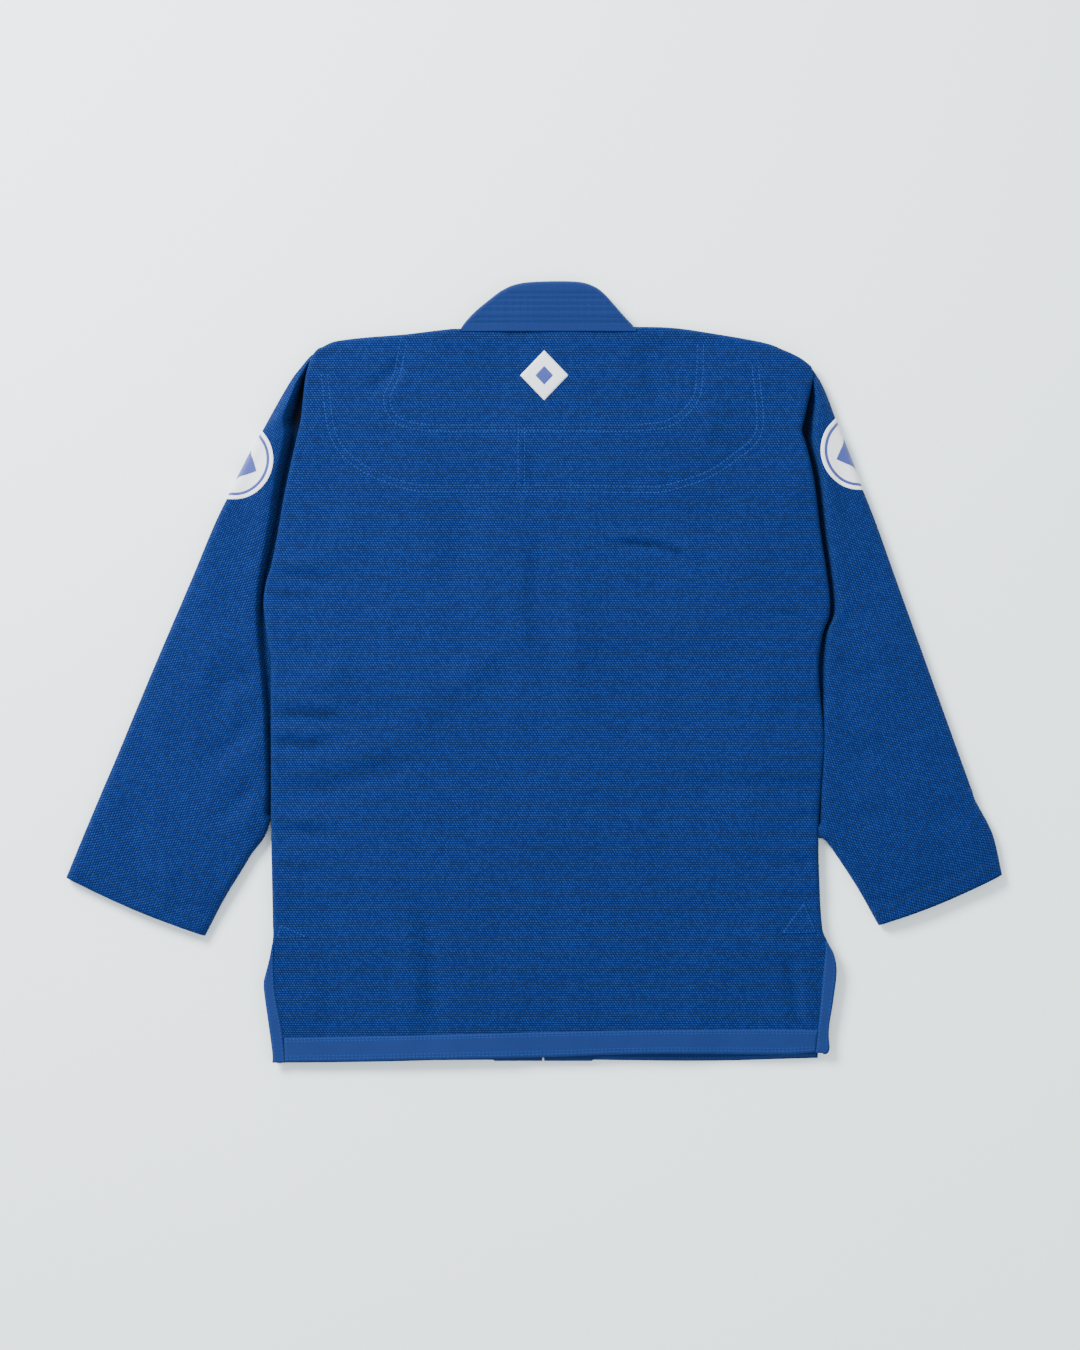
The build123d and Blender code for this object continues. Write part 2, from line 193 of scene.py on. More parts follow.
def thicken(ob, amount):
    """Gives a surface its cloth's thickness, in mm, on its inner side."""
    mod = ob.modifiers.new("cloth", "SOLIDIFY")
    mod.thickness, mod.offset = amount * MM, -1.0
    mod.use_even_offset = False
    mod.use_quality_normals = True
    graph = bpy.context.evaluated_depsgraph_get()
    thick = ob.evaluated_get(graph)
    me = bpy.data.meshes.new_from_object(thick, preserve_all_data_layers=True, depsgraph=graph)
    ob.modifiers.clear()
    ob.data = me


def paint(ob, *materials):
    ob.data.materials.clear()
    for m in materials:
        ob.data.materials.append(m)
    return ob


blends = []


def place(ob, replaced, move):
    """A piece: the solids it replaces, and its body, or two bodies and the bend between them."""
    if replaced:
        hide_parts(*replaced)
    if isinstance(move, str):
        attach(ob, move)
    else:
        blends.append((ob, *move))
    return ob


# ------------------------------------------------------------------ materials


class Nodes:
    """Short calls for a material's node tree."""

    def __init__(self, name):
        self.mat = bpy.data.materials.new(name)
        self.mat.use_nodes = True
        self.tree = self.mat.node_tree
        self.tree.nodes.clear()
        self.out = self.tree.nodes.new("ShaderNodeOutputMaterial")
        self.bsdf = self.tree.nodes.new("ShaderNodeBsdfPrincipled")
        self.tree.links.new(self.bsdf.outputs[0], self.out.inputs[0])

    def node(self, kind, **values):
        n = self.tree.nodes.new(kind)
        for key, value in values.items():
            setattr(n, key, value)
        return n

    def put(self, socket, value):
        if isinstance(value, bpy.types.NodeSocket):
            self.tree.links.new(value, socket)
        else:
            socket.default_value = value

    def times(self, a, b):
        return self.math("MULTIPLY", a, b)

    def plus(self, a, b):
        return self.math("ADD", a, b)

    def math(self, op, a, b=0.0, c=0.0):
        n = self.node("ShaderNodeMath", operation=op)
        for i, value in enumerate((a, b, c)):
            self.put(n.inputs[i], value)
        return n.outputs[0]

    def noise(self, vector, scale, detail=3.0, rough=0.5):
        n = self.node("ShaderNodeTexNoise")
        self.put(n.inputs["Vector"], vector)
        n.inputs["Scale"].default_value = scale
        n.inputs["Detail"].default_value = detail
        n.inputs["Roughness"].default_value = rough
        return n.outputs["Fac"]

    def ramp(self, fac, low, high):
        n = self.node("ShaderNodeMix", data_type="RGBA")
        self.put(n.inputs["Factor"], fac)
        n.inputs["A"].default_value = (*low, 1)
        n.inputs["B"].default_value = (*high, 1)
        return n.outputs["Result"]

    def mix(self, fac, a, b, blend="MIX"):
        n = self.node("ShaderNodeMix", data_type="RGBA", blend_type=blend)
        self.put(n.inputs["Factor"], fac)
        self.put(n.inputs["A"], a)
        self.put(n.inputs["B"], b)
        return n.outputs["Result"]

    def scaled(self, value, low, high):
        n = self.node("ShaderNodeMapRange")
        self.put(n.inputs["Value"], value)
        n.inputs["To Min"].default_value = low
        n.inputs["To Max"].default_value = high
        return n.outputs["Result"]

    def pair(self, x, y):
        n = self.node("ShaderNodeCombineXYZ")
        self.put(n.inputs[0], x)
        self.put(n.inputs[1], y)
        return n.outputs[0]

    def shaded(self, colour, shade):
        """A colour times a grey value."""
        grey = self.node("ShaderNodeCombineColor")
        for socket in list(grey.inputs)[:3]:
            self.put(socket, shade)
        return self.mix(1.0, colour, grey.outputs[0], "MULTIPLY")

    def surface(self, height, strength, distance, sockets):
        """Fills the shader's sockets, gives it relief from a height, and hands back the material."""
        for key, value in sockets.items():
            self.put(self.bsdf.inputs[key], value)
        bump = self.node("ShaderNodeBump")
        bump.inputs["Strength"].default_value = strength
        bump.inputs["Distance"].default_value = distance
        self.put(bump.inputs["Height"], height)
        self.put(self.bsdf.inputs["Normal"], bump.outputs[0])
        return self.mat


def srgb(*channels):
    """A linear colour from channels of 0 to 255."""
    shares = [c / 255 for c in channels]
    return tuple(c / 12.92 if c <= 0.04045 else ((c + 0.055) / 1.055) ** 2.4 for c in shares)


def cloth_coordinates(n):
    """(u, v) on the flat cloth, in metres."""
    uv = n.node("ShaderNodeUVMap", uv_map="cloth")
    split = n.node("ShaderNodeSeparateXYZ")
    n.tree.links.new(uv.outputs[0], split.inputs[0])
    return uv.outputs[0], split.outputs["X"], split.outputs["Y"]


def pearl_weave(name, deep, body, tip):
    """Pearl weave: staggered rows of rice-grain knots, with threads that vary a little in colour, painted shade
    in the gaps between the knots and a painted highlight on their crowns.
    """
    row_pitch, knot_pitch = 0.0024, 0.0029
    n = Nodes(name)
    vector, u, v = cloth_coordinates(n)
    wander = n.times(n.math("SUBTRACT", n.noise(vector, 55, 2), 0.5), 0.0011)
    v_row = n.times(n.plus(v, wander), 1 / row_pitch)
    row = n.math("FLOOR", v_row)
    u_col = n.times(n.plus(u, wander), 1 / knot_pitch)
    u_col = n.plus(u_col, n.times(row, 0.5))
    across = n.math("SUBTRACT", n.math("FRACT", v_row), 0.5)
    along = n.math("SUBTRACT", n.math("FRACT", u_col), 0.5)
    along = n.plus(along, n.times(across, 0.22))
    along_2 = n.times(n.times(along, along), 3.5)
    across_2 = n.times(n.times(across, across), 3.3)
    knot = n.math("SUBTRACT", 1.0, n.plus(along_2, across_2))
    knot = n.math("SQRT", n.math("MAXIMUM", knot, 0.0))
    lot = n.node("ShaderNodeTexWhiteNoise", noise_dimensions="2D")
    n.put(lot.inputs["Vector"], n.pair(n.math("FLOOR", u_col), row))
    # painted shade: the colour falls to the deep colour in the gaps between the knots
    colour = n.ramp(n.math("POWER", knot, 1.3), deep, body)
    # knot crowns lighter by a random share: thread tone that varies, with a painted highlight on the crowns
    light = n.times(n.times(knot, knot), n.scaled(lot.outputs["Value"], 0.18, 0.60))
    colour = n.mix(light, colour, (*tip, 1))
    fade = n.scaled(n.noise(vector, 7, 3, 0.5), 0.88, 1.12)
    stretched = n.pair(n.times(u, 60.0), n.times(v, 330.0))
    slub = n.scaled(n.noise(stretched, 1.0, 2), 0.91, 1.09)
    # painted shade: the "shade" point values darken the weave in the sleeves' pleats by the body
    pleat_painted_shade = n.node("ShaderNodeAttribute", attribute_name="shade").outputs["Fac"]
    shade = n.times(n.times(fade, slub), n.math("SUBTRACT", 1.0, pleat_painted_shade))
    fuzz = n.times(n.noise(vector, 1500, 2), 0.35)
    return n.surface(n.plus(knot, fuzz), 0.85, 0.0009, {
        "Base Color": n.shaded(colour, shade), "Roughness": n.scaled(knot, 0.95, 0.78), "Sheen Weight": 0.10,
        "Sheen Roughness": 0.5, "Sheen Tint": (0.15, 0.4, 1.0, 1), "Specular IOR Level": 0.12})


def twill(name, deep, body):
    """Fine diagonal twill, smoother and a little lighter than the pearl weave."""
    pitch = 0.0013
    n = Nodes(name)
    vector, u, v = cloth_coordinates(n)
    lean = n.times(n.plus(u, n.times(v, 1.6)), 2 * math.pi / pitch)
    rib = n.math("MULTIPLY_ADD", n.math("SINE", lean), 0.5, 0.5)
    wide, fine = (n.scaled(n.noise(vector, *scale), 0.92, 1.08) for scale in ((12, 3), (420, 2)))
    height = n.plus(rib, n.times(n.noise(vector, 900, 2), 0.6))
    return n.surface(height, 0.5, 0.0004, {
        # painted shade: the colour falls to the deep colour in the troughs between the ribs
        "Base Color": n.shaded(n.ramp(rib, deep, body), n.times(wide, fine)),
        "Roughness": n.scaled(rib, 0.9, 0.74), "Sheen Weight": 0.14, "Sheen Roughness": 0.45,
        "Sheen Tint": (0.25, 0.5, 1.0, 1), "Specular IOR Level": 0.2})


def embroidery(name, deep, body):
    """Satin stitch: close parallel threads with a soft shine."""
    pitch = 0.0008
    n = Nodes(name)
    vector, _, v = cloth_coordinates(n)
    wander = n.times(n.noise(vector, 160, 2), 0.0016)
    wave = n.math("SINE", n.times(n.plus(v, wander), 2 * math.pi / pitch))
    ridge = n.math("MULTIPLY_ADD", wave, 0.5, 0.5)
    # painted shade: the colour falls to the deep colour in the grooves between the threads
    return n.surface(ridge, 0.6, 0.0004, {
        "Base Color": n.ramp(ridge, deep, body), "Roughness": n.scaled(ridge, 0.7, 0.42), "Sheen Weight": 0.2})


def thread(name, deep, body):
    """Twisted sewing thread."""
    n = Nodes(name)
    spot = n.node("ShaderNodeTexCoord").outputs["Object"]
    return n.surface(n.noise(spot, 4000, 2), 0.4, 0.0002, {
        "Base Color": n.ramp(n.noise(spot, 700, 2), deep, body),
        "Roughness": n.scaled(n.noise(spot, 2600, 2), 0.55, 0.85), "Sheen Weight": 0.10,
        "Sheen Tint": (0.2, 0.45, 1.0, 1), "Specular IOR Level": 0.15})


WEAVE = pearl_weave("pearl weave, blue", (0.0001, 0.0011, 0.012), (0.0003, 0.0096, 0.085),
                    (0.0038, 0.0400, 0.218))
TWILL = twill("twill, blue", (0.0020, 0.0132, 0.080), (0.0050, 0.0225, 0.122))
COLLAR_TWILL = twill("collar twill, blue", (0.0012, 0.0103, 0.068), (0.0038, 0.0190, 0.110))
WHITE = embroidery("embroidery, white", srgb(205, 208, 214), srgb(236, 238, 240))
BLUE_SATIN = embroidery("embroidery, blue", srgb(22, 36, 106), srgb(46, 62, 150))
THREAD = thread("sewing thread, blue", (0.0025, 0.024, 0.140), (0.006, 0.040, 0.200))
THREAD_DEEP = thread("sewing thread, deep blue", (0.0012, 0.010, 0.062), (0.0025, 0.018, 0.105))

# ------------------------------------------------------------------ outlines, in mm
LEFT_EDGE = [(-288, -406), (-288, -396), (-292, -364), (-297, -327), (-297, -319), (-291, -298),
             (-288, -276), (-290, -152), (-290, -60), (-290, 15), (-293, 33), (-297.5, 70), (-295, 94),
             (-288, 118), (-277, 179), (-270.5, 211), (-264.5, 238), (-259, 262), (-257, 280),
             (-254.5, 304), (-251, 320), (-246, 331), (-240, 337)]
RIGHT_EDGE = [(287, -396), (292, -394), (291, -377), (292, -364), (296, -342), (299, -312), (297, -294),
              (290, -280), (284, -256), (281, -171), (285, -100), (287, -64), (281, 0), (285, 40),
              (293, 72), (283, 149), (276, 203), (268, 238), (263.5, 252), (267, 270), (271.5, 290),
              (274.5, 304), (275, 313), (273, 320)]
TOP_EDGE = [(-224, 340.5), (-211, 342.8), (-190, 345), (-151, 348), (-108, 353), (-92, 354), (0, 355.5),
            (90, 356), (128, 355), (165, 350), (221, 340), (243, 332), (258, 325)]
HEM_EDGE = [(-200, -405), (-117, -403), (106, -397), (240, -398), (269, -395.5)]
VENT_Y = -283.0

# Stitched reinforcement of the yoke, in double rows
OUTER_YOKE = [(-233, 312), (-226, 256), (-211, 228), (-182, 208), (-145, 195), (-120, 193), (0, 193),
              (95, 192), (120, 193), (162, 206), (192, 225), (218, 253), (214, 320)]
INNER_LEFT = [(-150, 347), (-158, 310), (-168, 286), (-160, 266), (-143, 259), (-120, 256), (-60, 256),
              (0, 256), (43, 256)]
INNER_RIGHT = [(43, 256), (90, 256), (127, 262), (151, 284), (156, 310), (157, 342)]
CENTRE_SEAM = [(-28, 256), (-28, 195)]
YOKE_SEAMS = (OUTER_YOKE, INNER_LEFT, INNER_RIGHT, CENTRE_SEAM)
SKIRT_BEND = (TORSO, SKIRT, (0, VENT_Y * MM, 0), (0, (VENT_Y - 62) * MM, 0))


def roll_radius(y):
    """Radius of the rolled side edge: small over the sleeve head, larger down the side, thin at the vent."""
    side = 5.2 + (4.6 - 5.2) * smooth((y - 50) / 30)
    return 1.3 + (side - 1.3) * smooth((y + 290) / 22)


def side_folds(side, tilt, lip, folds):
    """Creases that run in from a side edge. Each has its level, its reach and its depth."""
    edge_x = -300 if side < 0 else 294
    return [([(edge_x, y + tilt[0]), (side * (285 - reach * 0.5), y + tilt[1]),
              (side * (285 - reach), y + tilt[2])], 7, -deep, deep * lip, 0.4) for y, reach, deep in folds]


# Creases and ridges of the back: path, width, height, bulge beside it, share that fades at each end
BACK_FOLDS = [
    ([(58, 136), (84, 133), (115, 131), (136, 122), (152, 105)], 4.5, -2.6, 1.7),
    ([(-133, -215), (-128, -260), (-122, -306), (-119, -400)], 11, -2.3, 0.0, 0.35),
    ([(-150, -230), (-146, -300), (-143, -400)], 12, 1.0),
    *side_folds(-1, (4, -2, -4), 0.9, ((100, 66, 1.6), (78, 50, 1.1), (-46, 84, 2.0), (-75, 66, 2.2),
                                       (-165, 74, 1.6), (-205, 60, 0.8))),
    *side_folds(1, (2, -1, 1), -0.7, ((61, 88, 1.1), (-30, 60, 1.0), (-115, 80, 1.5), (-150, 60, 1.3),
                                      (-196, 70, 1.3), (-232, 50, 0.9))),
    ([(147, -116), (190, -118), (230, -114)], 9, -1.2),
    ([(-292, -124), (-235, -122), (-180, -104), (-120, -86)], 12, -1.5, 1.6, 0.35),
    ([(-82, 263), (-98, 118), (-113, 55)], 22, -1.7, 0.0, 0.4),
    ([(-176, -69), (-80, 4), (11, 76)], 16, 1.5, 0.0, 0.4),
    ([(-28, 253), (-30, 190)], 8, 1.0),
    ([(-30, 185), (-29, 60), (-27, -80)], 15, 0.8),
    ([(27, 180), (28, 76), (25, -60)], 13, 1.1),
    ([(-10, 190), (-15, 76), (-12, 0)], 9, -1.0),
    ([(-150, 326), (-172, 306), (-191, 290)], 8, -1.6, 1.0),
    ([(95, 347), (108, 310), (115, 274)], 9, -1.3, -0.9),
    ([(162, 284), (168, 262), (170, 243)], 8, 1.2),
    ([(-262, 227), (-246, 208)], 4, -1.6, 1.0),
    ([(250, -283), (256, -330), (261, -371)], 6, -1.4, 1.0),
    ([(200, -210), (236, -300), (244, -392)], 16, 1.2),
    ([(-235, -230), (-226, -310), (-232, -398)], 14, -1.0),
    ([(20, -250), (32, -320), (26, -398)], 18, 1.0),
    ([(130, -220), (122, -310), (134, -396)], 15, -0.8),
    ([(-238, 180), (-160, 120), (-90, 100)], 26, 1.1),
    ([(236, 160), (180, 60), (120, 20)], 26, 1.0),
    ([(-200, 20), (-240, -10), (-288, -20)], 13, 1.2),
]


def back_height(x, y):
    """Height of the outer face of the back, in mm."""
    z = 17.6 - 1.1 * (np.abs(x) / 290) ** 2
    down = np.clip((VENT_Y - y) / 120, 0, 1.05)
    z = z - down * (3.6 + 1.6 * (np.abs(x) / 290) ** 2)
    z = z + 1.0 * ripples(x, y, 170, 3) + 0.62 * ripples(x, y, 62, 4) + 0.13 * ripples(x, y, 20, 5)
    for path, width, height, *more in BACK_FOLDS:
        z += fold(x, y, path, width, height, *more)
    # Second layer inside the yoke, with a pulled-in line at each row of stitches
    for path in YOKE_SEAMS:
        d, t = beside(path, x, y)
        z = z - 0.55 * bell(d - 2.5, 2.2) - 0.30 * bell(d + 4.0, 2.2)
        z = z + 0.22 * bell(d, 14) * np.sin(t * 160 + 3 * np.sin(t * 31))
    # Full over the sleeve heads, beside the deep pleats
    for edge_x, edge_y in ((-266, 262), (268, 250)):
        z = z + 2.2 * bell(x - edge_x, 34) * bell(y - edge_y, 95)
    # The neck seam pulls the cloth in
    z = z - 1.2 * bell(y - 359, 5.0) * smooth((98 - np.abs(x)) / 12)
    return z


# ------------------------------------------------------------------ back of the jacket
NU, NV = 196, 256


def edge_curve(points, count, inset_sign):
    curve = hermite(points, count)
    curve[:, 0] += inset_sign * roll_radius(curve[:, 1])
    return curve


left_curve = edge_curve(LEFT_EDGE, NV, 1)
right_curve = edge_curve(RIGHT_EDGE, NV, -1)
left_curve[-1] += (1.5, -1.0)
right_curve[-1] += (-1.5, -1.0)
hem_curve = hermite([left_curve[0], *HEM_EDGE, right_curve[0]], NU)
top_curve = hermite([left_curve[-1], *TOP_EDGE, right_curve[-1]], NU)
back_xy = coons(left_curve, right_curve, hem_curve, top_curve)
for _ in range(260):        # evens the grid out where its corners are nearly straight
    beside_it = back_xy[:-2, 1:-1] + back_xy[2:, 1:-1] + back_xy[1:-1, :-2] + back_xy[1:-1, 2:]
    back_xy[1:-1, 1:-1] = beside_it / 4
bx, by = back_xy[..., 0], back_xy[..., 1]
verts = points(bx, by, back_height(bx, by))
uvs = back_xy.reshape(-1, 2).copy()
faces = grid_faces(NV, NU)

# The rolled edge goes up the left side, over the shoulders and down the right side
loop = ([i * NU for i in range(NV)] + [(NV - 1) * NU + j for j in range(1, NU)]
        + [i * NU + NU - 1 for i in range(NV - 2, -1, -1)])
rim = verts[loop]
tangent = evened(np.gradient(rim[:, :2], axis=0), 6)
tangent /= np.linalg.norm(tangent, axis=1)[:, None]
outward = np.stack([-tangent[:, 1], tangent[:, 0]], axis=1)
on_side = np.ones(len(loop))
on_side[NV:NV + NU - 2] = 0.0
radius = evened(np.where(on_side > 0, roll_radius(rim[:, 1]), 5.2), 8)
closed = (smooth((58 - rim[:, 1]) / 16) * smooth((rim[:, 1] + 286) / 12) * on_side) + (1 - on_side)
closed[NV - 14:NV + 12] = 0
closed[NV + NU - 14:NV + NU + 12] = 0
closed = evened(closed, 12)
previous = loop
base_uv = uvs[loop]
steps = [("arc", a) for a in np.linspace(0, math.pi, 9)[1:]]
steps += [("in", 2.0), ("in", 5.0), ("down", 0.5), ("down", 1.0)]
z_end = rim[:, 2] - 2 * radius
for kind, value in steps:
    if kind == "arc":
        out = radius * math.sin(value)
        z = rim[:, 2] - radius * (1 - math.cos(value))
        travelled = radius * value
    elif kind == "in":
        out = -value * np.ones(len(loop))
        z = z_end
        travelled = radius * math.pi + value
    else:
        out = -5.0 - 3.0 * value * (1 - closed)
        z = z_end + (np.minimum(1.9, z_end) - z_end) * value * closed
        travelled = radius * math.pi + 5 + value * 4
    ring = np.column_stack([rim[:, 0] + outward[:, 0] * out, rim[:, 1] + outward[:, 1] * out, z])
    first = len(verts)
    verts = np.vstack([verts, ring])
    uvs = np.vstack([uvs, base_uv + outward * travelled[:, None]])
    now = list(range(first, first + len(loop)))
    faces += [(previous[i + 1], now[i + 1], now[i], previous[i]) for i in range(len(loop) - 1)]
    previous = now
back = make_mesh("back_cloth", verts, faces, uvs)
thicken(back, 1.8)
paint(back, WEAVE)
place(back, ("back_panel", "back_panel_tail", "left_side_seam", "right_side_seam",
                      "left_shoulder_seam", "right_shoulder_seam"), SKIRT_BEND)


def strip(name, inner, outer, height, count, across, rise, thickness=0.8):
    """A twill tape laid on a surface, between two paths."""
    a, b = hermite(inner, count), hermite(outer, count)
    share = np.linspace(0, 1, across)[:, None]
    xy = a[None] * (1 - share[..., None]) + b[None] * share[..., None]
    x, y = xy[..., 0], xy[..., 1]
    edge = np.sqrt(np.clip(1 - (2 * share - 1) ** 6, 0, 1))
    z = height(x, y) + rise * (0.5 + 0.5 * edge)
    wide = np.linalg.norm(b - a, axis=1).mean()
    uv = points(gone_along(a) + 0 * x, wide * share + 0 * x)
    ob = make_mesh(name, points(x, y, z), grid_faces(across, count), uv)
    over, on = xy[1, 0] - xy[0, 0], xy[0, 1] - xy[0, 0]
    if over[0] * on[1] - over[1] * on[0] > 0:
        ob.data.flip_normals()
    thicken(ob, thickness)
    return paint(ob, TWILL)


class Stitches:
    """Rows of sewn thread, gathered into one mesh for each way of moving."""

    def __init__(self, name):
        self.name, self.verts, self.faces = name, [], []

    def row(self, path, height, pitch=4.0, long=3.1, up=1):
        """Stitches along a path, on a surface. up is -1 where the surface faces down."""
        thread_width, rise = 1.15, 0.4
        p = np.array(path, float)
        dense = hermite(p, max(60, int(np.linalg.norm(np.diff(p, axis=0), axis=1).sum() / 1.5)))
        gone = gone_along(dense)
        number = int(gone[-1] / pitch)
        if number < 1:
            return
        mid = (np.arange(number) + 0.5) * gone[-1] / number
        rings = [np.stack([np.interp(mid + long * share, gone, dense[:, k]) for k in (0, 1)], axis=1)
                 for share in (-0.5, -0.3, 0.3, 0.5)]
        z = [height(q[:, 0], q[:, 1]) for q in rings]
        span = rings[3] - rings[0]
        side = np.stack([-span[:, 1], span[:, 0]], axis=1)
        side /= np.linalg.norm(side, axis=1)[:, None] + 1e-9
        for i in range(number):
            s = len(self.verts)
            self.verts.append((*rings[0][i], z[0][i] - 0.25 * up))
            for k in (1, 2):
                q, h, out = rings[k][i], z[k][i], side[i] * (thread_width / 2) * up
                self.verts += [(*(q + out), h + 0.05 * up), (*q, h + rise * up),
                               (*(q - out), h + 0.05 * up), (*q, h - 0.3 * up)]
            self.verts.append((*rings[3][i], z[3][i] - 0.25 * up))
            for j in range(4):
                k = (j + 1) % 4
                self.faces += [(s, s + 1 + k, s + 1 + j), (s + 1 + j, s + 1 + k, s + 5 + k, s + 5 + j),
                               (s + 9, s + 5 + j, s + 5 + k)]

    def build(self, move, material=THREAD):
        ob = make_mesh(self.name, self.verts, self.faces)
        place(paint(ob, material), (), move)


def between(low, high, share):
    """The path that lies at a share of the way from one path to another with as many points."""
    return np.array(low) * (1 - share) + np.array(high) * share


def raised(height, by):
    return lambda x, y: height(x, y) + by


def level(z):
    return lambda x, y: np.full_like(x, z)


back_threads = Stitches("back_stitching")
for path in YOKE_SEAMS:
    for d in (2.5, -4.0):
        seam = hermite(path, 80)
        back_threads.row(seam + normals(seam) * d, back_height)

# Hem tape and vent tapes on the back skirt
HEM_TOP = [(-276, -379.5), (-200, -378.5), (-117, -376.5), (0, -373.5), (106, -371.5), (240, -371),
           (280, -371.5)]
HEM_LOW = [(-275, -405.3), (-200, -404.2), (-117, -402.1), (0, -399.8), (106, -396.2), (240, -397.1),
           (277.5, -394.8)]
LEFT_TAPE_OUT = [(-288, -281), (-291.5, -298), (-297, -321), (-296.5, -335), (-292.5, -364), (-288.5, -396),
                 (-288.5, -406)]
LEFT_TAPE_IN = [(-287, -283), (-287.5, -303), (-285, -335), (-279, -367), (-275.5, -396), (-275, -405.8)]
RIGHT_TAPE_OUT = [(288.5, -279), (297, -294), (299.5, -312), (296, -342), (292.5, -364), (291.5, -377),
                  (292.3, -392), (288, -395.8)]
RIGHT_TAPE_IN = [(287.5, -281), (288, -290), (286, -307), (283, -342), (281, -364), (279.3, -378), (278, -390),
                 (277.5, -395)]
skirt_threads = Stitches("back_skirt_stitching")
for name, inner, outer, count, across, shares, rise in (
        ("back_hem_tape", HEM_LOW, HEM_TOP, 200, 12, (0.12, 0.24, 0.84, 0.93), 0.9),
        ("back_left_vent_tape", LEFT_TAPE_IN, LEFT_TAPE_OUT, 60, 7, (0.15, 0.8), 0.85),
        ("back_right_vent_tape", RIGHT_TAPE_IN, RIGHT_TAPE_OUT, 60, 7, (0.15, 0.8), 0.85)):
    place(strip(name, inner, outer, back_height, count, across, 1.0), (name,), SKIRT_BEND)
    if name != "back_hem_tape":
        inner, outer = hermite(inner, 24), hermite(outer, 24)
    for share in shares:
        skirt_threads.row(between(inner, outer, share), raised(back_height, rise))
skirt_threads.build(SKIRT_BEND)

# Vent reinforcement triangles and their stitching
VENT_PATCHES = {
    "left_vent_patch": [(-284, -276), (-281, -261), (-250, -275)],
    "right_vent_patch": [(240, -272), (266, -237), (280, -271)],
}
for name, corners in VENT_PATCHES.items():
    c = np.array(corners, float)
    rows = 14
    pts, uv, index = [], [], {}
    for i in range(rows + 1):
        for j in range(rows + 1 - i):
            w = np.array([rows - i - j, i, j]) / rows
            p = w @ c
            index[(i, j)] = len(pts)
            edge = min(w) * rows
            rise = 0.15 if edge < 0.5 else 0.55
            pts.append((*p, back_height(p[0:1], p[1:2])[0] + rise))
            uv.append(p)
    tri = []
    for i in range(rows):
        for j in range(rows - i):
            tri.append((index[(i, j)], index[(i + 1, j)], index[(i, j + 1)]))
            if i + j < rows - 1:
                tri.append((index[(i + 1, j)], index[(i + 1, j + 1)], index[(i, j + 1)]))
    if np.cross(c[1] - c[0], c[2] - c[0]) < 0:
        tri = [t[::-1] for t in tri]
    patch = make_mesh(name, pts, tri, uv)
    thicken(patch, 0.6)
    place(paint(patch, WEAVE), (name,), TORSO)
    inset = between(c.mean(axis=0), c, 0.84)
    for a, b in ((0, 1), (1, 2), (2, 0)):
        back_threads.row([inset[a], inset[b]], raised(back_height, 0.5), pitch=3.4, long=2.5)
back_threads.build(TORSO)

# Yoke lining and neck tape inside the back
LINING_ROWS, LINING_COLS = 34, 70
yy, xx = np.meshgrid(np.linspace(254, 346, LINING_ROWS), np.linspace(-1, 1, LINING_COLS), indexing="ij")
lx = xx * (121 + 38 * smooth((yy - 254) / 34) - 3 * smooth((yy - 310) / 36))
lining = make_mesh("yoke_lining_cloth", points(lx, yy, back_height(lx, yy) - 3.0),
                   grid_faces(LINING_ROWS, LINING_COLS), points(lx, yy))
thicken(lining, 1.0)
place(paint(lining, TWILL), ("yoke_lining",), TORSO)
tape = strip("neck_tape_cloth", [(-80, 339), (0, 340), (80, 339)], [(-80, 350), (0, 351), (80, 350)],
             raised(back_height, -4.6), 60, 8, -0.4)
place(tape, ("neck_tape",), TORSO)

# ------------------------------------------------------------------ nape emblem: a plain raised diamond
EMBLEM_X, EMBLEM_Y = -5.0, 310.0


def diamond(name, half_x, half_y, material, rise, replaced):
    """A flat embroidered diamond laid on the back."""
    n = 22
    s, t = (g[..., None] for g in np.meshgrid(np.linspace(0, 1, n), np.linspace(0, 1, n), indexing="ij"))
    c = np.array([(0, -half_y), (half_x, 0), (0, half_y), (-half_x, 0)]) + (EMBLEM_X, EMBLEM_Y)
    xy = (1 - s) * (1 - t) * c[0] + s * (1 - t) * c[1] + s * t * c[2] + (1 - s) * t * c[3]
    x, y = xy[..., 0], xy[..., 1]
    edge = np.minimum.reduce([s, 1 - s, t, 1 - t])[..., 0]
    z = back_height(x, y) + rise * (0.35 + 0.65 * smooth(edge * 9))
    ob = make_mesh(name, points(x, y, z), grid_faces(n, n), points(x, y))
    ob.data.flip_normals()
    thicken(ob, 0.8)
    place(paint(ob, material), replaced, TORSO)


diamond("nape_emblem_cloth", 25, 26, WHITE, 1.0, ("nape_emblem",))
diamond("nape_emblem_core", 10.5, 11, BLUE_SATIN, 1.6, ())

# ------------------------------------------------------------------ collar band
COLLAR_TOP = [(-93, 357), (-88, 365), (-79, 375), (-65, 387), (-48, 399.5), (-31, 406), (-6, 408.2), (28, 408),
              (45, 404), (57, 396), (73, 378), (84, 366), (91, 358)]
COLLAR_ROWS = (395.5, 390.3, 384.0, 378.0, 370.5, 365.3)


def collar_height(x, y):
    """Outer face of the collar band."""
    z = 18.6 + 1.0 * smooth((y - 360) / 16) + 0.25 * ripples(x, y, 60, 11) + 0.1 * ripples(x, y, 18, 12)
    for row in COLLAR_ROWS:
        z = z - 0.75 * bell(y - row, 1.3)
    z = z + 0.28 * np.sin(x * 0.9 + 2 * np.sin(x * 0.07)) * bell(y - 381, 20.0) * 0.5
    return z


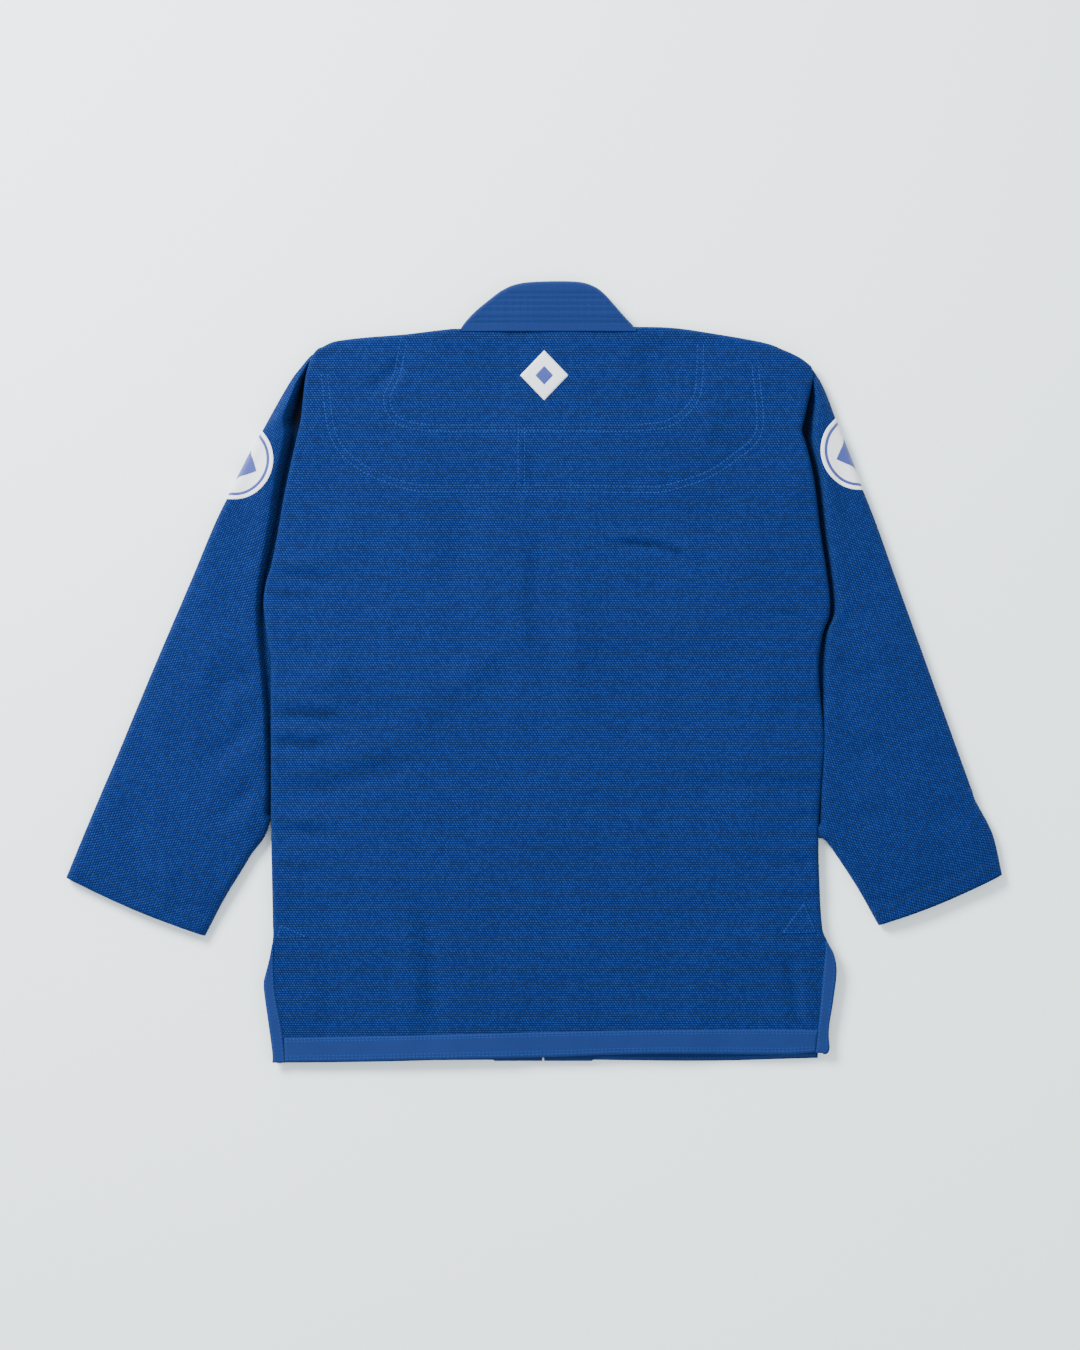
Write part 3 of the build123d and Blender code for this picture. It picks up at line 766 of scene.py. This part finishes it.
COLLAR_COLS, COLLAR_LOW = 120, 356.0
FACE, ROLL, INSIDE = 52, 16, 28     # points up the outer face, over the top and down the inside
RING = FACE + ROLL + INSIDE
top = hermite(COLLAR_TOP, 400)
ring_rows, ring_uv = [], []
for x in np.linspace(-92.5, 90.5, COLLAR_COLS):
    y_top = np.interp(x, top[:, 0], top[:, 1])
    tall = max(y_top - COLLAR_LOW, 1.2)
    r = min(4.8, tall / 2)
    y_face = COLLAR_LOW + np.linspace(0, 1, FACE) * (tall - r)
    z_face = collar_height(np.full_like(y_face, x), y_face)
    turn = np.linspace(0, math.pi, ROLL + 2)[1:-1]
    z_mid = z_face[-1] - r
    y_ring = np.concatenate([y_face, y_top - r + r * np.sin(turn), np.linspace(y_top - r, COLLAR_LOW, INSIDE)])
    z_ring = np.concatenate([z_face, z_mid + r * np.cos(turn), np.full(INSIDE, z_mid - r)])
    ring_rows.append(points(x, y_ring, z_ring))
    ring_uv.append(points(x, gone_along(ring_rows[-1])))
collar_faces = grid_faces(COLLAR_COLS, RING, wrap=True)
collar_faces += [tuple(range(RING)), tuple(range(COLLAR_COLS * RING - 1, (COLLAR_COLS - 1) * RING - 1, -1))]
collar = make_mesh("collar_band", np.vstack(ring_rows), collar_faces, np.vstack(ring_uv))
place(paint(collar, COLLAR_TWILL), ("collar_cover", "collar_core"), COLLAR)
collar_threads = Stitches("collar_stitching")
for row in COLLAR_ROWS:
    xl = np.interp(row, top[:200, 1], top[:200, 0])
    xr = np.interp(-row, -top[200:, 1], top[200:, 0])
    path = [(xl + 4, row), ((xl + xr) / 2, row - 0.3), (xr - 4, row)]
    collar_threads.row(path, raised(collar_height, 0.15), pitch=3.6, long=2.6)
collar_threads.build(COLLAR, THREAD_DEEP)

# ------------------------------------------------------------------ fronts and their padded bands
BAND_W, SPLIT_Y, FRONT_HEM = 52.0, 160.0, -404.0
BAND_ROWS = (-19, -11.5, -4, 4, 11.5, 19)      # stitches, measured from the band's middle
# Each front: the side of X it lies on, two points of its hinge line, its band's inner edge, and its outline
FRONTS = {
    "left": dict(g=-1, neck=(-92, 358), hinge=(-280, -276), inner=-6.7,
                 edge=[(-285, -407), (-286, -380), (-287, -310), (-281, -276), (-284, -152), (-284, 15),
                       (-288, 60), (-284, 110), (-272, 179), (-262, 238), (-255, 280), (-248, 318), (-238, 336)],
                 shoulder=[(-93.5, 355), (-151, 348), (-222, 341), (-238, 336)]),
    "right": dict(g=1, neck=(90, 358), hinge=(276, -262), inner=-5.3,
                  edge=[(281, -402), (281, -380), (283, -310), (277, -262), (276, -152), (276, 0), (279, 40),
                        (284, 70), (277, 149), (268, 210), (259, 250), (262, 290), (256, 320)],
                  shoulder=[(91.5, 355), (165, 348), (221, 338), (256, 320)]),
}


def front_band(side, g, centre, outward):
    """The padded band along the front's edge: a flattened tube with a groove at each row of stitches."""
    half, thick, ring = BAND_W / 2 - 0.3, 3.4, 84
    a = np.linspace(0, 2 * math.pi, ring, endpoint=False)
    px = np.sign(np.cos(a)) * np.abs(np.cos(a)) ** 0.34 * half
    pz = np.sign(np.sin(a)) * np.abs(np.sin(a)) ** 0.5 * thick
    for row in BAND_ROWS:
        pz = pz - np.sign(pz) * 0.5 * bell(px - row, 1.5)
    xy = centre[:, None, :] + outward[:, None, :] * px[None, :, None]
    gone = gone_along(centre)[:, None]
    wavy = 0.18 * np.sin(gone * 0.8 + 2 * np.sin(gone * 0.05)) * np.sign(pz)[None]
    z = np.maximum(3.55 + pz[None] + wavy * 0.5, 0.15)
    tube = grid_faces(len(centre), ring, wrap=True)
    tube += [tuple(range(ring)), tuple(range(len(centre) * ring - 1, (len(centre) - 1) * ring - 1, -1))]
    band = make_mesh(f"{side}_lapel_band", points(xy[..., 0], xy[..., 1], z), tube,
                     points(gone_along(np.stack([px, pz], axis=1))[None], gone))
    if g > 0:
        band.data.flip_normals()
    return paint(band, TWILL)


for side, s in FRONTS.items():
    g = s["g"]
    neck, hinge = np.array(s["neck"]), np.array(s["hinge"])
    along = (hinge - neck) / math.dist(neck, hinge)
    inward = np.array([-along[1], along[0]])
    if inward[0] * g > 0:
        inward = -inward
    bend = (TORSO, f"{side}_front", (*neck * MM, 0.0), (*(neck + inward * 70) * MM, 0.0))

    def front_height(x, y, seed=30 + g):
        return 2.2 + 0.22 * ripples(x, y, 70, seed) + 0.1 * ripples(x, y, 22, seed + 3)

    x_band = s["inner"] + g * BAND_W
    x_tuck = x_band - g * 2
    corner_x, corner_y = s["edge"][0]
    band_edge = [(x_tuck, FRONT_HEM), (x_tuck, 0), (x_tuck, SPLIT_Y - 30), (x_tuck + g * 2.5, SPLIT_Y + 12),
                 (neck[0] - g * 3.5, neck[1] - 3)]
    nu, nv = 70, 210
    low = hermite([band_edge[0], ((x_tuck + corner_x) / 2, FRONT_HEM - 1), (corner_x, corner_y)], nu)
    grid = coons(hermite(band_edge, nv), hermite(s["edge"], nv), low, hermite(s["shoulder"], nu))
    x, y = grid[..., 0], grid[..., 1]
    verts = points(x, y, front_height(x, y))
    front = make_mesh(f"{side}_front_cloth", verts, grid_faces(nv, nu), points(x, y))
    if g < 0:
        front.data.flip_normals()
    thicken(front, 1.5)
    place(paint(front, WEAVE), (f"{side}_front_side", f"{side}_front_panel"), bend)

    x_mid = x_band - g * BAND_W / 2
    centre = hermite([(x_mid, FRONT_HEM), (x_mid, 0), (x_mid, SPLIT_Y - 30), (x_mid + g * 2.5, SPLIT_Y + 12),
                      (neck[0] - g * (BAND_W / 2 + 1), neck[1] - 3)], 220)
    outward = normals(centre)
    if outward[0, 0] * g < 0:
        outward = -outward
    band = place(front_band(side, g, centre, outward), (f"{side}_lapel", f"{side}_lapel_core"), bend)
    rows = Stitches(f"{side}_front_stitching")
    for row in BAND_ROWS:
        path = (centre + outward * row)[::6]
        rows.row(path, level(6.45), pitch=4.2)
        rows.row(path, level(0.65), pitch=4.2, up=-1)

    # Hem tape, vent tape and the patch over the band's lower end
    x_half = (x_band + hinge[0]) / 2
    tape_x = corner_x - g * 1.5
    hem_in = [(x_band - g * 1.5, FRONT_HEM + 1), (x_half, FRONT_HEM), (tape_x, corner_y + 1.5)]
    hem_up = [(x_band - g * 1.5, FRONT_HEM + 24), (x_half, FRONT_HEM + 23.5), (tape_x, corner_y + 25)]
    vent_out = [(corner_x - g * 1.2, FRONT_HEM + 25), (s["edge"][2][0] - g * 1.2, s["edge"][2][1]),
                (s["edge"][3][0] - g * 3, s["edge"][3][1] - 6)]
    vent_in = [(p[0] - g * 9.5, p[1]) for p in vent_out]
    for name, node, low, high, count, across, shares in (
            ("front_hem", "front_hem_tape", hem_in, hem_up, 90, 9, (0.12, 0.86)),
            ("front_vent", "front_vent_tape", vent_in, vent_out, 40, 6, (0.15, 0.85))):
        tape = strip(f"{side}_{name}", low, high, front_height, count, across, 0.9, 0.7)
        place(tape, (f"{side}_{node}",), bend)
        for share in shares:
            rows.row(between(low, high, share), raised(front_height, 0.85))
    cap_low = [(x_band - g * far, FRONT_HEM - 0.6) for far in (BAND_W - 0.2, BAND_W / 2, 1.5)]
    cap_high = [(p[0], p[1] + 24) for p in cap_low]
    cap = strip(f"{side}_lapel_end", cap_low, cap_high, level(6.8), 40, 10, 0.8, 0.9)
    place(cap, (f"{side}_lapel_end_patch",), bend)
    rows.build(bend)

# ------------------------------------------------------------------ sleeves
# Each sleeve: pairs of points, one on the outer fold and one beside the body; rows of the pleat (level, width
# of its floor, width of its wall, ridge beside it, painted shade on its floor); and creases as for the back
SLEEVES = {
    "left": dict(
        g=-1, tip=(-235, 340), armpit=7, free=9, seed=50, patch=(-326, 223),
        fold=((-392.705, -151.332), (-0.387947, -0.921682)),
        pairs=[
            ((-239, 336), (-235, 330)), ((-248, 332), (-247, 323)),
            ((-258, 320.5), (-252, 311)), ((-271, 303), (-255.5, 297)),
            ((-298, 255), (-259.5, 260)), ((-324, 205), (-271, 208)),
            ((-347, 160), (-281, 158)), ((-373, 98), (-297.5, 66)),
            ((-414, 2), (-290.5, -50)), ((-451, -87), (-290.5, -151)),
            ((-466, -122), (-313, -193)), ((-487, -172), (-338, -234)),
            ((-504, -213), (-359, -274))],
        groove=[
            (335, 1, 4, 0, 0.3), (320, 5, 4, 2, 0.88), (300, 9, 5, 4, 0.93),
            (276, 13, 6, 5, 0.96), (265, 13, 6, 6, 0.93), (252, 4, 11, 5, 0.62),
            (215, 3, 12, 3.5, 0.5), (180, 2.5, 11, 2.5, 0.45), (120, 1.5, 9, 1.5, 0.4),
            (60, 1.5, 8, 1, 0.35), (0, 1, 7, 0.5, 0.25), (-150, 1, 8, 0, 0.2)],
        folds=[
            ([(-300, 240), (-316, 205), (-322, 165)], 9, -1.3, 1.0),
            ([(-330, 60), (-352, 10), (-382, -30)], 16, 1.2, 0.0),
            ([(-300, -40), (-330, -75), (-372, -96)], 10, -1.6, 1.2),
            ([(-296, 10), (-322, -8), (-352, -12)], 9, -1.2, 0.9),
            ([(-440, -130), (-430, -180), (-436, -228)], 14, -1.0, 0.8),
            ([(-392, -190), (-398, -225), (-408, -252)], 10, 1.0, 0.0),
            ([(-302, -110), (-328, -140), (-362, -160)], 9, -1.5, 1.0)]),
    "right": dict(
        g=1, tip=(255, 328), armpit=7, free=10, seed=70, patch=(325, 234),
        fold=((374.673, -142.395), (0.338269, -0.941049)),
        pairs=[
            ((260, 326), (256, 320)), ((271.5, 321), (267, 311)), ((281, 308), (270, 302)),
            ((290, 290), (268.5, 287)), ((305, 249), (264.5, 251)),
            ((322, 205), (275, 207)), ((340, 160), (282, 156)), ((362.5, 97), (292.5, 70)),
            ((373.5, 66.5), (284, 36)), ((397, 1), (281.5, -40)),
            ((437, -110), (278.5, -159)), ((441.5, -122), (288.5, -174)),
            ((445.5, -133.7), (298.5, -188)), ((463, -168), (322, -224)),
            ((473, -210), (344, -263))],
        groove=[
            (327, 1, 4, 0, 0.4), (310, 4, 6, 1.5, 0.8), (290, 7, 6, 3, 0.85),
            (255, 9, 6, 4, 0.85), (235, 6.5, 6, 4, 0.8), (200, 5, 6, 3.5, 0.8),
            (120, 4, 6, 2.5, 0.75), (60, 3, 7, 1.5, 0.6), (0, 1.5, 8, 0.5, 0.35),
            (-165, 1, 8, 0, 0.2)],
        folds=[
            ([(300, 235), (306, 200), (316, 160)], 9, -1.1, 0.8),
            ([(330, 70), (345, 15), (365, -40)], 16, 1.2, 0.0),
            ([(292, -50), (320, -78), (350, -92)], 10, -1.5, 1.1),
            ([(300, 20), (322, 0), (350, -6)], 9, -1.0, 0.8),
            ([(415, -130), (408, -175), (415, -222)], 14, -0.9, 0.8),
            ([(296, -120), (318, -146), (346, -158)], 9, -1.3, 1.0)]),
}
HALF_T, TUCK = 7.6, 23.0            # half the sleeve's thickness in mm; how far its head turns inward, in degrees
ROWS, MAIN, EXTRA = 168, 64, 12     # rows down the sleeve, points across it, points across its tucked part


def sleeve_rows(s, rows):
    """For each row across the sleeve: its outer point, the one beside the body, and the tucked inner one."""
    g = s["g"]
    pairs = np.array([[*o, *e] for o, e in s["pairs"]], float)
    dense = hermite(pairs, rows * 8)
    gone = gone_along(dense[:, :2]) * 0.6 + gone_along(dense[:, 2:]) * 0.4
    want = np.linspace(0, gone[-1], rows)
    table = np.stack([np.interp(want, gone, dense[:, k]) for k in range(4)], axis=1)
    outer, edge = table[:, :2], table[:, 2:]
    tip = np.array(s["tip"], float)
    # Rows above the armpit carry the tucked head; rows beside the body tuck a little under its edge
    arm = np.array(s["pairs"][s["armpit"]][1], float)
    free = np.array(s["pairs"][s["free"]][1], float)
    above = edge[:, 1] > arm[1]
    beside_body = (~above) & (edge[:, 1] > free[1])
    turn = math.radians(TUCK) * -g
    dx, dy = edge[:, 0] - tip[0], edge[:, 1] - tip[1]
    tucked = np.stack([tip[0] + dx * math.cos(turn) - dy * math.sin(turn),
                       tip[1] + dx * math.sin(turn) + dy * math.cos(turn)], axis=1)
    hidden = edge + np.array([-g * 15.0, 0.0])
    share = smooth((edge[:, 1] - free[1]) / 14)[:, None]
    inner = np.where(above[:, None], tucked, edge * (1 - share) + hidden * share)
    inner = np.where((above | beside_body)[:, None], inner, edge)
    return outer, edge, inner, above, beside_body


def sleeve_profile(s, x, y, e, wide, edge_y, above, beside_body):
    """Top height, bottom height and painted shade of the sleeve, at a distance e from its outer edge."""
    r = np.minimum(HALF_T, wide * 0.5)
    rise = np.sqrt(np.clip(r**2 - (r - np.minimum(e, r)) ** 2, 0, None))
    seed = s["seed"]
    relief = (0.9 * ripples(x, y, 105, seed) + 0.5 * ripples(x, y, 44, seed + 1)
              + 0.12 * ripples(x, y, 17, seed + 2))
    for path, width, height, lip in s["folds"]:
        relief = relief + fold(x, y, path, width, height, lip, 0.35)
    inside = smooth(e / 26) * smooth((wide - e) / 22)
    top = HALF_T + 0.3 + rise + (0.9 + relief) * inside
    bottom = HALF_T + 0.3 - rise
    # Beside and under the body: a full ridge, then a steep fall into the pleat, whose floor is flat
    ys = [p[0] for p in s["groove"]][::-1]
    floor_w, wall_w, ridge, deep = (np.interp(edge_y, ys, [p[k] for p in s["groove"]][::-1])
                                    for k in (1, 2, 3, 4))
    left = wide - e
    fits = np.minimum(1.0, wide * 0.55 / (floor_w + wall_w))
    into = smooth((left - floor_w * fits) / (wall_w * fits))
    top = top + ridge * bell(left - (floor_w + wall_w) * fits * 1.15, 13) * smooth(e / 12)
    covered_top = 4.3 + (top - 4.3) * into
    covered_bottom = 0.3 * (1 - smooth(left / 6)) + bottom * smooth(left / 6)
    # The free inner edge is rolled like the outer one
    fall = np.sqrt(np.clip(r**2 - (r - np.minimum(left, r)) ** 2, 0, None))
    share = np.minimum(rise, fall)
    free_top = HALF_T + 0.3 + share + (0.9 + relief) * inside
    free_bottom = HALF_T + 0.3 - share
    covered = above | beside_body
    # painted shade on the pleat's floor, darkest by the body's edge
    painted_shade = deep * (1 - smooth((left - floor_w * fits * 0.6) / (wall_w * fits)))
    bottom = np.maximum(np.where(covered, covered_bottom, free_bottom), 0.25)
    return np.where(covered, covered_top, free_top), bottom, np.where(covered, painted_shade, 0)


def sleeve_mesh(side, s):
    g = s["g"]
    outer, edge, inner, above, beside_body = sleeve_rows(s, ROWS)
    wide = np.linalg.norm(edge - outer, axis=1)
    f = (1 - np.cos(np.linspace(0, math.pi, MAIN))) / 2
    e = wide[:, None] * f[None]
    base = outer[:, None, :] + (edge - outer)[:, None, :] * f[None, :, None]
    # The cuff bulges a little beyond the straight line between its corners
    t_end = np.clip((np.arange(ROWS) / (ROWS - 1) - 0.86) / 0.14, 0, 1)
    d = np.array(s["fold"][1])
    base = base + (t_end**2)[:, None, None] * (np.sin(f * math.pi) * 3.2)[None, :, None] * d[None, None, :]
    x, y = base[..., 0], base[..., 1]
    by_row = lambda a: np.broadcast_to(a[:, None], e.shape)
    per_row = (by_row(a) for a in (wide, edge[:, 1], above, beside_body))
    top, bottom, painted_shade = sleeve_profile(s, x, y, e, *per_row)
    # Turned hem at the cuff: a slight step and a pulled-in line
    from_end = np.linspace(1, 0, ROWS) * np.linalg.norm(np.diff(outer, axis=0), axis=1).sum()
    hem = by_row(smooth((20.5 - from_end) / 2.5) * 0.5 - 0.7 * bell(from_end - 20.0, 1.8))
    calm = smooth(e / 8) * smooth((by_row(wide) - e) / 8)
    top = top + hem * calm
    flat = 0.80 + 0.20 * by_row(smooth(from_end / 60))
    top = (top - 0.3) * flat + 0.3
    bottom = (bottom - 0.3) * flat + 0.3
    m = (np.arange(1, EXTRA + 1) / EXTRA)
    extra = edge[:, None, :] + (inner - edge)[:, None, :] * m[None, :, None]
    z_top_edge, z_low_edge = top[:, -1], bottom[:, -1]
    close = ((z_top_edge - z_low_edge) / 2)[:, None] * smooth((m - 0.82) / 0.18)[None]
    ring_xy = np.concatenate([base, extra, extra[:, ::-1][:, 1:], base[:, ::-1][:, :-1]], axis=1)
    over = np.where(above | beside_body, 2.3, 0.0)[:, None] * smooth(m / 0.25)[None]
    top_in, low_in = z_top_edge[:, None] - close + over * 0.6, z_low_edge[:, None] + close + over
    ring_z = np.concatenate([top, top_in, low_in[:, ::-1][:, 1:], bottom[:, ::-1][:, :-1]], axis=1)
    painted_shade_in = painted_shade[:, -1:] * (1 - 0.85 * smooth(m / 0.3))[None]
    ring_painted_shade = np.concatenate([painted_shade, painted_shade_in, painted_shade_in[:, ::-1][:, 1:], 0 * painted_shade[:, :-1]], axis=1)
    cols = ring_xy.shape[1]
    across = np.concatenate([e, wide[:, None] + np.linalg.norm(extra - edge[:, None], axis=2)], axis=1)
    across = np.concatenate([across, across[:, ::-1][:, 1:-1]], axis=1)
    ob = make_mesh(f"{side}_sleeve_cloth", points(ring_xy[..., 0], ring_xy[..., 1], ring_z),
                   grid_faces(ROWS, cols, wrap=True), points(-from_end[:, None], across))
    if g < 0:
        ob.data.flip_normals()
    # painted shade in the pleats by the body, kept as the "shade" point values
    add_painted_shade(ob, ring_painted_shade)
    return ob, outer, np.concatenate([base, top[..., None]], axis=-1), from_end


def cuff_stitching(side, flat_pts, from_end, bend):
    """Two rows of stitching round the turned hem, on the top face."""
    rows = Stitches(f"{side}_cuff_stitching")
    for back_off in (18.5, 15.0):
        at_row = np.interp(back_off, from_end[::-1], np.arange(len(from_end))[::-1])
        i0 = int(at_row)
        line = flat_pts[i0] * (1 - (at_row - i0)) + flat_pts[min(i0 + 1, ROWS - 1)] * (at_row - i0)
        keep = line[3:-3]

        def at_line(x, y, keep=keep):
            width = keep[-1, 0] - keep[0, 0]
            return np.interp((x - keep[0, 0]) / width, (keep[:, 0] - keep[0, 0]) / width, keep[:, 2])

        rows.row(keep[::4, :2], at_line, pitch=3.8)
    rows.build(bend, THREAD_DEEP)


def sleeve_badge(side, s, outer, skin):
    """Round patch over the outer fold: white, with a thin blue ring and a plain diamond."""
    g = s["g"]
    near = int(np.argmin(np.linalg.norm(outer - np.array(s["patch"], float), axis=1)))
    gone = gone_along(outer)
    middle = -7.5      # the patch's centre, measured from the outer fold
    ring_in, ring_out = 34.6, 37.6

    def on_sleeve(a, c, rise):
        """Points at a distance a along the sleeve from the patch's centre, and c from the outer fold."""
        want = gone[near] + a
        ox, oy = (np.interp(want, gone, outer[:, k]) for k in (0, 1))
        tx, ty = (np.interp(want + 4, gone, outer[:, k]) - np.interp(want - 4, gone, outer[:, k])
                  for k in (0, 1))
        size = np.hypot(tx, ty)
        inx, iny = (-ty / size, tx / size)
        flip = np.where(inx * g > 0, -1.0, 1.0)
        inx, iny = inx * flip, iny * flip
        r = HALF_T
        turn = np.minimum(np.abs(c) / r, math.pi / 2)
        e = r * (1 - np.cos(turn)) + np.maximum(np.abs(c) - r * math.pi / 2, 0)
        x, y = ox + inx * e, oy + iny * e
        z = HALF_T + 0.3 + (r * np.sin(turn) + 0.9 * smooth(e / 26)) * np.where(c >= 0, 1, -1)
        # Onto the sleeve's real surface: straight down on the top face, to the nearest point round the fold
        guess = np.stack(np.broadcast_arrays(x, y, z), axis=-1)
        out = np.empty_like(guess)
        on_top = np.broadcast_to((turn >= math.pi / 2) & (c >= 0), guess.shape[:-1])
        lift = np.broadcast_to(rise, guess.shape[:-1])
        for at in np.ndindex(guess.shape[:-1]):
            if on_top[at]:
                above = Vector((guess[at][0] * MM, guess[at][1] * MM, 0.1))
                spot, normal, _, _ = skin.ray_cast(above, Vector((0, 0, -1)))
            else:
                spot, normal, _, _ = skin.find_nearest(Vector(guess[at] * MM))
            out[at] = np.array(spot) / MM + np.array(normal) * lift[at]
        return points(out[..., 0], out[..., 1], np.maximum(out[..., 2], 0.12 - 0.08 * rise))

    radii = np.concatenate([np.linspace(0.4, 34.0, 22), [ring_in, 36.1, ring_out], [38.2, 40, 41.0, 41.5]])
    angles = np.linspace(0, 2 * math.pi, 97)[:-1]
    rr, aa = np.meshgrid(radii, angles, indexing="ij")
    rise = np.where(rr > 41.2, 0.25, 0.75) + np.where((rr > 35.8) & (rr < 38.2), -0.2, 0.0)
    patch_x, patch_y = rr * np.cos(aa), rr * np.sin(aa)
    patch = make_mesh(f"{side}_sleeve_badge", on_sleeve(patch_x, middle + patch_y, rise),
                      grid_faces(len(radii), len(angles), wrap=True) + [tuple(range(len(angles)))],
                      points(patch_x, patch_y))
    paint(patch, WHITE, BLUE_SATIN)
    index = np.zeros(len(patch.data.polygons), np.int32)
    for k, radius in enumerate((radii[:-1] + radii[1:]) / 2):
        if ring_in <= radius <= ring_out:
            index[k * len(angles):(k + 1) * len(angles)] = 1
    patch.data.polygons.foreach_set("material_index", index)
    place(patch, (f"{side}_sleeve_patch",), f"{side}_sleeve")
    n = 26
    ss, tt = np.meshgrid(np.linspace(-1, 1, n), np.linspace(-1, 1, n), indexing="ij")
    da, dc = (ss + tt) * 9.0, (ss - tt) * 9.0
    mark = make_mesh(f"{side}_sleeve_badge_mark", on_sleeve(da, middle + 9.0 + dc, 1.15 + 0 * da),
                     grid_faces(n, n), points(da, dc))
    place(paint(mark, BLUE_SATIN), (), f"{side}_sleeve")


for side, s in SLEEVES.items():
    sleeve, outer, flat_pts, from_end = sleeve_mesh(side, s)
    skin = BVHTree.FromPolygons([v.co for v in sleeve.data.vertices],
                                [p.vertices for p in sleeve.data.polygons])
    thicken(sleeve, 1.5)
    (fx, fy), d = s["fold"]
    bend_end = ((fx + d[0] * 66) * MM, (fy + d[1] * 66) * MM, 0)
    bend = (f"{side}_sleeve", f"{side}_cuff", (fx * MM, fy * MM, 0), bend_end)
    place(paint(sleeve, WEAVE), [f"{side}_{n}" for n in (
        "sleeve_back", "sleeve_front", "sleeve_fold", "underarm_seam", "sleeve_head_back", "sleeve_head_front",
        "cuff_back", "cuff_front", "cuff_fold", "cuff_seam", "cuff_hem_tape")], bend)
    cuff_stitching(side, flat_pts, from_end, bend)
    sleeve_badge(side, s, outer, skin)

for ob, a, b, start, end in blends:
    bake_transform(ob)

# ------------------------------------------------------------------ floor, light, camera
floor_mat = Nodes("pale floor")
coords = floor_mat.node("ShaderNodeTexCoord").outputs["Object"]
floor_mat.put(floor_mat.bsdf.inputs["Base Color"],
              floor_mat.ramp(floor_mat.noise(coords, 2.0, 2), srgb(234, 243, 247), srgb(237, 246, 249)))
floor_mat.put(floor_mat.bsdf.inputs["Roughness"], floor_mat.scaled(floor_mat.noise(coords, 30, 2), 0.86, 0.94))
floor = make_mesh("floor", [(-6000, -6000, 0), (6000, -6000, 0), (6000, 6000, 0), (-6000, 6000, 0)],
                  [(0, 1, 2, 3)], smooth_shade=False)
paint(floor, floor_mat.mat)

world = bpy.data.worlds.new("studio")
bpy.context.scene.world = world
world.use_nodes = True
world.node_tree.nodes["Background"].inputs[0].default_value = (0.91, 0.975, 1.0, 1)
world.node_tree.nodes["Background"].inputs[1].default_value = 1.20


def area_light(name, at, aim, size, power, colour=(1, 1, 1)):
    data = bpy.data.lights.new(name, "AREA")
    data.shape, data.size, data.energy, data.color = "DISK", size, power, colour
    ob = bpy.data.objects.new(name, data)
    ob.location = at
    direction = np.array(aim, float) - np.array(at, float)
    ob.rotation_euler = Vector(direction).to_track_quat("-Z", "Y").to_euler()
    bpy.context.scene.collection.objects.link(ob)


area_light("key", (-1.7, 1.8, 2.1), (0, 0, 0), 1.4, 285)
area_light("fill", (1.6, -1.2, 3.0), (0, 0, 0), 2.2, 40)

cam = bpy.data.cameras.new("camera")
cam.lens, cam.sensor_width = 85, 36
camera = bpy.data.objects.new("camera", cam)
camera.location = (-0.0094, -0.0018, 3.334)
camera.rotation_euler = (0, 0, 0)
bpy.context.scene.collection.objects.link(camera)
bpy.context.scene.camera = camera
